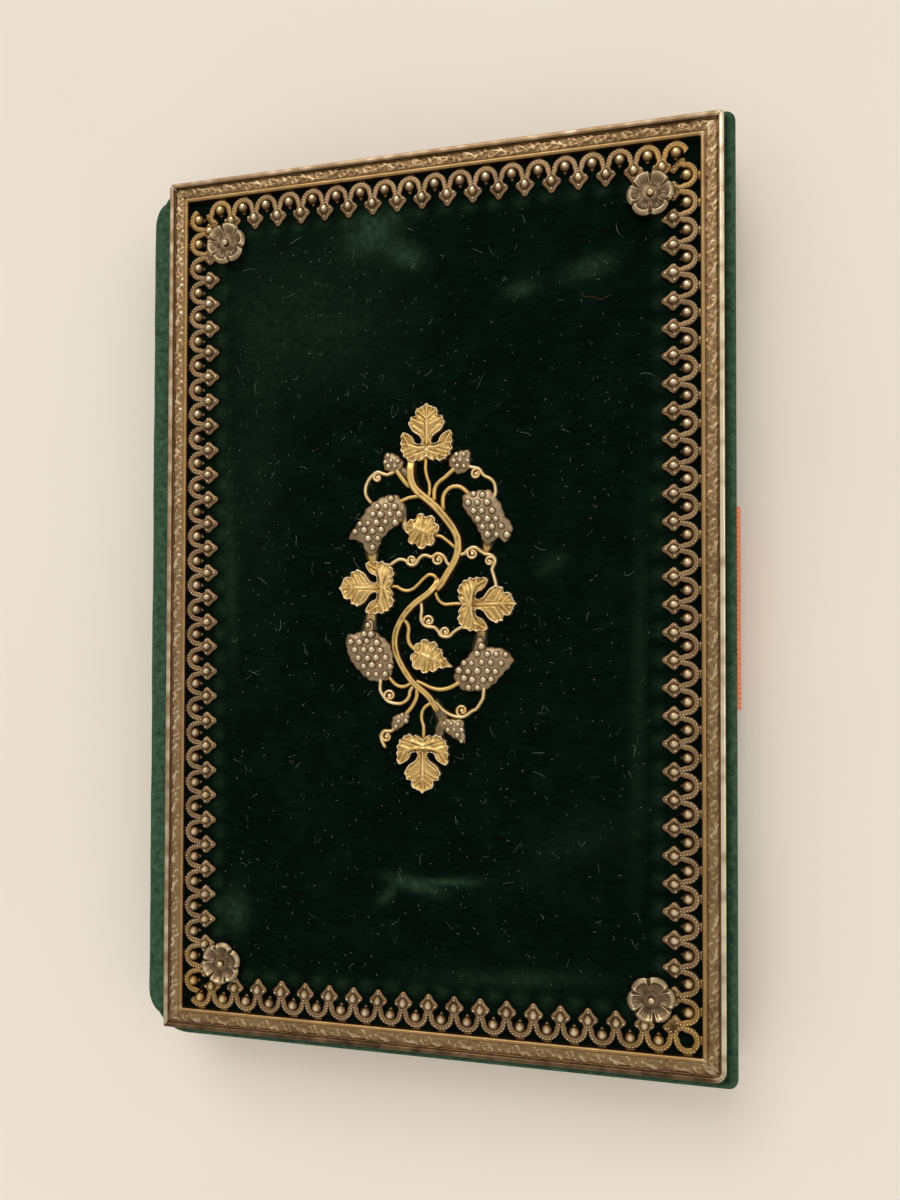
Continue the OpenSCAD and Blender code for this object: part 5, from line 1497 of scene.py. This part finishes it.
    # Curls: middle, outer radius, start angle and turning direction
    curls: tuple = (
        (-6.55, 15.7, 0.6, 60, 1), (6.45, 15.55, 0.65, 60, 1), (-1.9, 4.85, 0.62, 270, -1),
        (1.55, 4.85, 0.75, 90, 1), (6, 5.5, 0.72, 120, 1), (8.2, 4.45, 0.62, 0, 1),
        (0.35, -2.95, 0.7, 200, -1), (2.5, -4.35, 0.62, 250, -1), (-4.8, -12.5, 0.78, 240, -1),
        (4.7, -14.3, 0.75, 270, -1), (-5.2, -17.75, 0.7, 90, 1))
    bunches: tuple = (
        ("grapes_upper_left", ((-3.4, 12.3), (-3.2, 11.2), (-3.4, 10.1), (-4.6, 9.2), (-5.7, 8.2),
         (-6.3, 7), (-7, 6), (-7.9, 6.3), (-8.7, 7.6), (-10.2, 8.1), (-9.2, 9.6), (-8.5, 10.6),
         (-7.9, 11.6), (-6.9, 12.4), (-5.6, 13), (-4.3, 13.1))),
        ("grapes_upper_right", ((5.2, 12.9), (4.9, 11.9), (5.1, 11.1), (5.8, 10.1), (6.6, 9), (7.1, 7.9),
         (7.5, 7), (8.1, 6.7), (8.6, 7.2), (9.2, 7.5), (10.1, 7), (10.8, 8.3), (10.7, 9.2), (9.9, 10.2),
         (9.6, 11.2), (9, 12.2), (8.3, 13.1), (7, 13.2))),
        ("grapes_lower_left", ((-10.5, -5), (-9.2, -4.6), (-8.3, -4.2), (-7.9, -3.2), (-7.1, -3.1),
         (-6.9, -4.3), (-6.2, -4.9), (-5.2, -5.7), (-4.6, -6.8), (-4.5, -8), (-4.7, -9.2), (-5.1, -10.1),
         (-6.4, -10.4), (-7.6, -10.2), (-8.6, -9.4), (-10.1, -7.5))),
        ("grapes_lower_right", ((4, -10.4), (4, -9.4), (4.8, -8.3), (5.8, -7.3), (6.3, -6.5), (6.6, -5.5),
         (7.3, -5.3), (7.6, -6.1), (8, -6.5), (8.9, -6.5), (10, -6.8), (10.8, -7.6), (10.8, -8.4),
         (9.5, -9.8), (8.7, -10.7), (7.6, -11.4), (6.2, -11.6), (5, -11.5))),
        ("berries_top_left", ((-3.5, 18), (-4.6, 18.7), (-5.5, 18.7), (-5.6, 17.8), (-5.5, 16.8),
         (-4, 16.3), (-3.2, 17.2))),
        ("berries_top_right", ((3.4, 18.1), (4.4, 18.5), (5.5, 18.5), (5.6, 17.5), (5.5, 16.5),
         (4.8, 15.9), (3.8, 15.9), (3, 17.1))),
        ("berries_bottom_left", ((-2.5, -14.8), (-3.4, -14.9), (-4.3, -15.3), (-4.5, -16.8), (-3.7, -16.8),
         (-2.4, -15.6))),
        ("berries_bottom_right", ((2.4, -15.5), (3.6, -15.5), (4.7, -15.6), (4.9, -16.6), (5, -18.2),
         (4.2, -18), (3.3, -17.5), (2.6, -16.8))))

    def __post_init__(self) -> None:
        """Read the velvet's level from a leaf's CAD node."""
        self.z = cad_mm("leaf_top")[0][2]

    def stems(self) -> Surface:
        """Two main stems, their stalks, and the webs that tie bunches to leaves, greyer at the bunches."""
        parts, grey = [], []
        for points, ends in ((self.stem_upper, (1, 0.85)), (self.stem_lower, (0.8, 0.75))):
            path = spline(points, 5)
            width = self.stem_w * np.linspace(*ends, len(path))
            height = self.stem_h * np.interp(run_along(path), [0.6, 2], [0.45, 1])
            parts.append(flat_bar(path, width, height, groove=0.2, sides=24))
        for points, share in zip(self.stalks, self.stalk_share):
            path = spline(points, 5)
            parts.append(flat_bar(path, self.stalk_w * share, self.stalk_h, groove=0.1, sides=14))
        for part in parts:
            part.wear = 0.55 * part.wear
            grey.append(np.zeros(len(part.wear)))
        rows, sides = 15, 12
        for a, b, wide, narrow in self.webs:
            a, b = np.array(a), np.array(b)
            along = (b - a) / np.linalg.norm(b - a)
            path = np.linspace(a - 0.9 * along, b + 0.9 * along, rows)
            width = np.linspace(2.8 * wide, 2.2 * narrow, rows)
            web = flat_bar(path, width, 0.3 * self.stem_h, groove=0.25, sides=sides)
            web.wear = 0.2 + 0.2 * web.wear
            parts.append(web)
            grey.append(1 - smooth(np.repeat(np.linspace(0, 1, rows), sides), 0.55, 0.8))
        mount = joined(parts)
        mount.second = np.concatenate(grey)
        return mount

    def curling(self) -> Surface:
        """Tendrils, and curls that wind inwards to a button: the radius shrinks evenly over 400 degrees."""
        parts = [flat_bar(spline(points, 5), self.tendril_w, self.stalk_h) for points in self.tendrils]
        steps = 36
        t = np.linspace(0, 1, steps)
        for x, y, r, start, way in self.curls:
            a = np.radians(start + way * 400 * t)
            shrink = r * (1.02 - 0.66 * t)
            path = [x, y] + shrink[:, None] * circle(a)
            width = self.tendril_w * np.linspace(0.9, 0.6, steps)
            parts.append(flat_bar(path, width, 0.9 * self.stalk_h, sides=10))
            parts.append(dome(0.4 * r, below=15, sides=12, rings=6).moved(0, (x, y, 0.6 * self.stalk_h)))
        curls = joined(parts)
        curls.wear = 0.06 + 0.66 * curls.wear
        return curls

    def bunch(self, outline: Points, r: float, rng: np.random.Generator) -> Surface:
        """Balls on a triangular lattice, sunk in a domed plate whose outline swells at each ball's breadth.

        The dome's height goes by the share of the way from the outline to the middle. A lattice point is kept
        if a line from it towards +X crosses the inset outline an odd number of times.

        Args:
            outline: Points round the bunch.
            r: Radius of a ball.
            rng: Source of the small differences in place and size.

        Returns:
            The bunch, standing on Z = 0.
        """
        middle = np.mean(outline, 0)
        rim = spline(middle + self.fullness * (np.asarray(outline, float) - middle), 8, True)
        step = 2.2 * r
        swell = 0.3 * r * np.abs(np.sin(np.pi * run_along(rim) / step))
        reach = np.linalg.norm(rim - middle, axis=1)
        inset = middle + (rim - middle) * (1 - 0.6 * r / reach)[:, None]
        rim = middle + (rim - middle) * (1 + swell / reach)[:, None]
        i, j = np.meshgrid(np.arange(-8, 9), np.arange(-8, 9))
        p = middle + np.stack([(i + 0.5 * (j % 2)) * step, j * step * 0.866], -1).reshape(-1, 2)
        x, y = p[:, :1], p[:, 1:]
        (ax, ay), (bx, by) = inset.T, np.roll(inset, -1, 0).T
        slope = np.where(np.abs(by - ay) < 1e-9, 1e-9, by - ay)
        crossed = ((ay > y) != (by > y)) & (x < (bx - ax) * (y - ay) / slope + ax)
        p = p[crossed.sum(1) % 2 == 1]
        p = p + rng.normal(0, 0.12 * r, p.shape)
        q = np.array([0, 0, 0.04, 0.1, 0.2, 0.35, 0.55, 0.75, 0.95])
        rise = np.array([0, 0.24, 0.42, 0.56, 0.7, 0.82, 0.91, 0.97, 1]) * (self.plate_t + 0.8 * r)
        way = np.unwrap(np.arctan2(*(rim - middle).T[::-1]))
        across = np.interp(np.arctan2(*(p - middle).T[::-1]), way, reach, period=2 * np.pi)
        z = np.interp(1 - np.linalg.norm(p - middle, axis=1) / across, q[1:], rise[1:])
        # The balls' pale tops are wear and a painted highlight
        ball = knob(r * np.array([1, 1, 0.85]), wear=(0.34, 0.9), bare=0.7, sides=14)
        balls = repeated(ball, lifted(p, z - 0.05 * r), rng.uniform(0.82, 1.1, len(p)))
        plan = rim[None] * (1 - q[:, None, None]) + middle * q[:, None, None]
        plate = loft(lifted(plan, rise[:, None]), np.where(q > 0, 0.36, 0.1)[:, None])
        return joined([plate, balls])

    def build(self) -> None:
        """Make every piece of the mount and stand it on the velvet."""
        up = (0, 0, self.z)
        rng = np.random.default_rng(5)
        put("vine_main_stems", self.stems().moved(0, up), Look.VINE, Body.FRONT, ["vine_stem"])
        put("vine_curls", self.curling().moved(0, up), Look.VINE, Body.FRONT, ["vine_tendrils"])
        for node, shape, at, turn in (
            ("leaf_top", self.large, (0.05, 17.5), 90), ("leaf_bottom", self.large, (-0.35, -17.5), -90),
            ("leaf_left", self.large, (-4.3, 1.4), 180), ("leaf_right", self.large, (4.3, -0.95), 0),
            ("leaf_small_upper", self.round_leaf, (1.4, 7.8), 159),
            ("leaf_small_lower", self.heart_leaf, (-1.7, -6.8), -21),
        ):
            surface = shape.surface(self.leaf_h).moved(turn - 90, (*at, self.z))
            put("vine_" + node, surface, Look.VINE, Body.FRONT, [node])
        for node, outline in self.bunches:
            r = self.grape_r if node.startswith("grapes") else self.berry_r
            surface = self.bunch(outline, r, rng).moved(0, up)
            far = np.linalg.norm(surface.points[:, :2] - surface.points[:, :2].mean(0), axis=1)
            surface.second = 0.6 * smooth(far / far.max(), 0.75, 1.0)
            put("bunch_" + node, surface, Look.GRAPE, Body.FRONT, [node])
        dress("vine_pins", Look.VINE)


@dataclass
class MemoPad:
    """The pad: a card, a stack of leaves with uneven edges, and a silk binding at the head."""

    card_r: float = 1.2
    leaf_r: float = 1.0
    leaves: int = 11
    uneven: float = 0.25
    binding_gap: float = 0.02
    binding_t: float = 0.14
    squeeze: float = 0.8
    stitch_step: float = 2.0

    def card(self) -> None:
        """Make the card: its face and edges in one sheet, and its underside."""
        low, high = cad_mm("memo_card")
        plan = CoverPlan(low[0], high[0], low[1], high[1], self.card_r, self.card_r)
        fall = EdgeFall.over(radius=0.12, depth=high[2] - low[2], lip=0.12, turn_in=0.6)
        points, past = plan.skin(fall, fine=0.25, coarse=3.0)
        points[..., 2] += high[2]
        under = points[1:-1, 1:-1] * [1, 1, 0] + [0, 0, low[2]]
        faces = grid_faces(*under.shape[:2])[:, ::-1]
        back = Surface(under.reshape(-1, 3), [faces], np.ones(under.size // 3))
        surface = joined([cloth(points, 1 - 0.3 * smooth(past, -2, 0)), back])
        put("memo_pad_card", surface, Look.PAPER, Body.MEMO, ["memo_card"])

    def stack(self) -> None:
        """Stack the leaves: thin sheets whose edges differ a little and whose free ends lift in a wave."""
        rng = np.random.default_rng(3)
        low, high = cad_mm("memo_leaves")
        pitch = (high[2] - low[2]) / self.leaves
        fall = EdgeFall.over(radius=0.04, depth=0.75 * pitch, lip=0.03, turn_in=0.4)
        sheets = []
        for k in range(self.leaves):
            dx, dy = rng.uniform(0, self.uneven, 2)
            x1 = high[0] - rng.uniform(0, self.uneven)
            plan = CoverPlan(low[0] + dx, x1, low[1] + dy, high[1], self.leaf_r, self.leaf_r)
            points, past = plan.skin(fall, fine=0.4, coarse=3.0)
            wave = 0.02 * np.sin(points[..., 0] / 6 + k) * smooth(-points[..., 1], -20, 45)
            points[..., 2] += low[2] + (k + 1) * pitch - 0.02 + np.minimum(wave, 0.01)
            sheets.append(cloth(points, 1 - 0.35 * smooth(past, -1.2, 0)))
        put("memo_pad_leaves", joined(sheets), Look.PAPER, Body.MEMO, ["memo_leaves"])

    def binding(self) -> None:
        """Fold silk round the head of the pad and sew it with one row of stitches.

        The section is a flat, a half ellipse round the head and a flat back, and the same again inside.
        """
        low, high = cad_mm("memo_binding")
        gap, thick = self.binding_gap, self.binding_t
        r = (high[2] - low[2]) / 2 - gap
        deep = r * self.squeeze
        a = np.radians(np.linspace(-90, 90, 15))
        bow = [high[1] - deep, low[2] + r + gap] + circle(a) * [deep, r]
        path = np.concatenate([[[low[1], low[2] + gap]], bow, [[low[1], high[2] - gap]]])
        inner_y = np.minimum(path[:, 0], high[1] - thick - gap)
        inner = np.stack([inner_y, np.clip(path[:, 1], low[2] + thick, high[2] - thick)], -1)
        ring = np.concatenate([path, inner[::-1]])
        x = np.linspace(low[0], high[0], 70)[:, None]
        points = np.stack(np.broadcast_arrays(x, ring[:, 0], ring[:, 1]), -1)
        at = np.arange(low[0] + 1.5, high[0] - 1, self.stitch_step)[:, None]
        row = lifted(lifted(at, low[1] + 1.4), high[2] - 0.03)
        surface = joined([loft(points, 0.5), repeated(stitch((0.7, 0.13, 0.05)), row)])
        piece = put("memo_pad_binding", surface, Look.SILK, Body.MEMO, ["memo_binding"])

    def build(self) -> None:
        """Make the card, the leaves and the binding."""
        self.card()
        self.stack()
        self.binding()


@dataclass
class PencilAndLoop:
    """The pencil, and the ribbon loop at the fore-edge that holds it."""

    ribbon_t: float = 0.3
    rib_step: float = 0.6
    rib_h: float = 0.04
    flatter: float = 0.4
    cone_l: float = 5.0
    # Turned shapes: radius as a share of the CAD radius, place as a share of the length
    cap: Pairs = (
        (0.6, 0), (0.92, 0.03), (1.0, 0.08), (1.0, 0.16), (0.82, 0.2), (0.7, 0.3), (0.62, 0.42), (0.7, 0.52),
        (0.86, 0.6), (0.95, 0.7), (0.93, 0.8), (0.78, 0.9), (0.5, 0.97), (0.15, 1.0))
    lead: Pairs = (
        (0.12, 0), (0.3, 0.06), (0.62, 0.14), (0.96, 0.22), (1, 0.25), (1, 1))

    def loop(self) -> None:
        """Carry the ribbon's section, a tail and a turn round the pencil, along the fore-edge in ribs."""
        low, high = cad_mm("pencil_loop")
        outer = (high[2] - low[2]) / 2
        r = outer - self.ribbon_t / 2
        zc = low[2] + outer
        right, left = high[0] - outer, high[0] - outer - self.flatter
        a = np.radians(np.linspace(-90, 90, 16))
        b = np.radians(np.linspace(90, 245, 16))
        tail_z = low[2] + self.ribbon_t / 2 + 0.01
        path = spline(np.concatenate([
            [[low[0], tail_z], [low[0] + 2, tail_z], [left - 0.4, tail_z]],
            [right, zc] + r * circle(a), [left, zc] + r * circle(b)]), 2)
        across = square_to(path)
        n = round((high[1] - low[1]) / self.rib_step * 6)
        y = np.linspace(low[1], high[1], n)
        rib = self.rib_h * np.cos(2 * np.pi * (y - low[1]) / self.rib_step)[:, None, None]
        half = self.ribbon_t / 2 - 0.045 + rib
        ring = np.concatenate([path[None] - across * half, (path[None] + across * half)[:, ::-1]], 1)
        points = np.stack([ring[..., 0], np.broadcast_to(y[:, None], ring.shape[:2]), ring[..., 1]], -1)
        surface = loft(points, 0.5)
        piece = put("ribbon_loop", surface, Look.RIBBON, Body.BACK, ["pencil_loop"])
        flat = (run_along(path)[-1] * MM, (high[1] - low[1]) * MM)

    def pencil(self) -> None:
        """Turn the barrel with its rings, the cap with its knop and the sharpened lead."""
        low, high = cad_mm("pencil_barrel")
        x, z = (low[0] + high[0]) / 2, (low[2] + high[2]) / 2
        r = (high[0] - low[0]) / 2
        y0, y1 = low[1], high[1]
        at = y0 + self.cone_l
        profile = [(0.62, y0), (0.7, y0 + 0.15), (0.75, y0 + 0.6), (r - 0.12, at - 0.3), (r - 0.05, at)]
        for ring in (0.5, 1.4, 2.3):
            profile += [(r - 0.05, at + ring - 0.3), (r - 0.18, at + ring - 0.2), (r, at + ring),
                        (r, at + ring + 0.3), (r - 0.18, at + ring + 0.45)]
        steps = np.linspace(at + 3.4, y1 - 2.6, 60)
        profile += [(r - 0.04 - 0.02 * np.cos(k * 2.1), k) for k in steps]
        for ring in (2.0, 1.2, 0.4):
            profile += [(r - 0.16, y1 - ring - 0.35), (r, y1 - ring - 0.15), (r, y1 - ring + 0.15),
                        (r - 0.16, y1 - ring + 0.3)]
        barrel = turned_work(profile, 40).moved(0, (x, 0, z))
        radius = np.hypot(barrel.points[:, 0] - x, barrel.points[:, 2] - z)
        barrel.wear = 0.2 + 0.7 * smooth(radius, r - 0.2, r - 0.02)
        put("pencil_silver_barrel", barrel, Look.SILVER, Body.PENCIL, ["pencil_barrel"])
        for name, node, shape, sides, look in (
            ("pencil_gilt_cap", "pencil_cap", self.cap, 40, Look.GILT),
            ("pencil_graphite_lead", "pencil_lead", self.lead, 24, Look.GRAPHITE),
        ):
            low, high = cad_mm(node)
            r = (high[0] - low[0]) / 2
            profile = [(r * share, low[1] + (high[1] - low[1]) * place) for share, place in shape]
            put(name, turned_work(profile, sides).moved(0, (x, 0, z)), look, Body.PENCIL, [node])

    def build(self) -> None:
        """Make the loop and the pencil."""
        self.loop()
        self.pencil()


@dataclass
class Studio:
    """Pale floor, soft light and a camera at the photograph's viewing angle."""

    eye: tuple[float, float, float] = (28.92, -9.54, 122.6)
    forward: tuple[float, float, float] = (-0.2334, 0.0177, -0.9722)
    up: tuple[float, float, float] = (0.0016, 0.9998, 0.0178)
    lens: float = 27.08
    sensor: float = 36.0
    shift: tuple[float, float] = (0.0059, 0.0472)
    clip: tuple[float, float] = (0.005, 60.0)
    floor_half: float = 12000.0
    floor_z: float = -0.03
    floor_tones: tuple[str, str] = ("#e4ddd2", "#ebe5da")
    floor_mm: float = 60.0
    room: tuple[str, float] = ("#f2ede5", 0.86)
    # Name, direction that it shines from, how wide it looks in degrees, watts to a square metre, colour
    lamps: tuple[tuple[str, tuple[float, float, float], float, float, str], ...] = (
        ("key_soft", (-0.2, 0.85, 0.8), 34.0, 1.0, "#fffaf4"),
        ("fill_soft", (0.6, 0.1, 0.55), 40.0, 0.35, "#fbf9ff"))

    def floor(self) -> None:
        """Lay a plain pale floor just under the case."""
        # Matt and pale, with hardly a cloud in it
        material, tree, shader, place = blank_material(
            "floor_pale_matt", {"Roughness": 0.9, "Specular IOR Level": 0.1})
        cloud = add(tree, "TexNoise", {"Scale": per_mm(self.floor_mm), "Detail": 2.0}, place)
        first, second = (linear(tone) for tone in self.floor_tones)
        colour = add(tree, "Mix", {**COLOURS, FIRST: first, SECOND: second}, {SHARE: cloud})
        wire(tree, shader, {"Base Color": colour})
        mesh = bpy.data.meshes.new("floor")
        corners = np.array([[-1, -1], [1, -1], [1, 1], [-1, 1]]) * self.floor_half
        mesh.from_pydata((lifted(corners, self.floor_z) * MM).tolist(), [], [[0, 1, 2, 3]])
        mesh.materials.append(material)
        placed("floor", mesh)

    def light(self) -> None:
        """Wide soft lamps, a key from past the head and a fill from the fore-edge, in a pale room."""
        for name, at, spread, power, colour in self.lamps:
            data = bpy.data.lights.new(name, "SUN")
            data.angle, data.energy, data.color = np.radians(spread), power, linear(colour)[:3]
            lamp = placed(name, data)
            lamp.location = at
            lamp.rotation_euler = (-Vector(at)).to_track_quat("-Z", "Y").to_euler()
        world = bpy.data.worlds.new("pale_room")
        bpy.context.scene.world = world
        world.use_nodes = True
        tree = world.node_tree
        tree.nodes.clear()
        room = add(tree, "Background", {"Color": linear(self.room[0]), "Strength": self.room[1]})
        add(tree, "OutputWorld", None, {"Surface": room})
        bpy.context.scene.view_settings.view_transform = "Standard"

    def camera(self) -> None:
        """Set the camera where the photograph's perspective puts it."""
        data = bpy.data.cameras.new("camera")
        data.lens, data.sensor_width = self.lens, self.sensor
        data.shift_x, data.shift_y = self.shift
        data.clip_start, data.clip_end = self.clip
        camera = placed("camera", data)
        ahead = Vector(self.forward).normalized()
        right = ahead.cross(Vector(self.up)).normalized()
        above = right.cross(ahead)
        turn = Matrix((right, above, -ahead)).transposed().to_4x4()
        camera.matrix_world = Matrix.Translation(Vector(self.eye) * MM) @ turn
        bpy.context.scene.camera = camera

    def build(self) -> None:
        """Make the floor, the light and the camera."""
        self.camera()
        self.floor()
        self.light()


def main() -> None:
    """Build the studio and the case, and note the size of the result."""
    logging.basicConfig(level=logging.INFO, format="%(message)s")
    Studio().build()
    covers = Covers()
    covers.build()
    Spine(covers).build()
    for assembly in (Border, Rosettes, VineMount, MemoPad, PencilAndLoop):
        assembly().build()
    bpy.context.view_layer.update()


if __name__ == "__main__":
    main()
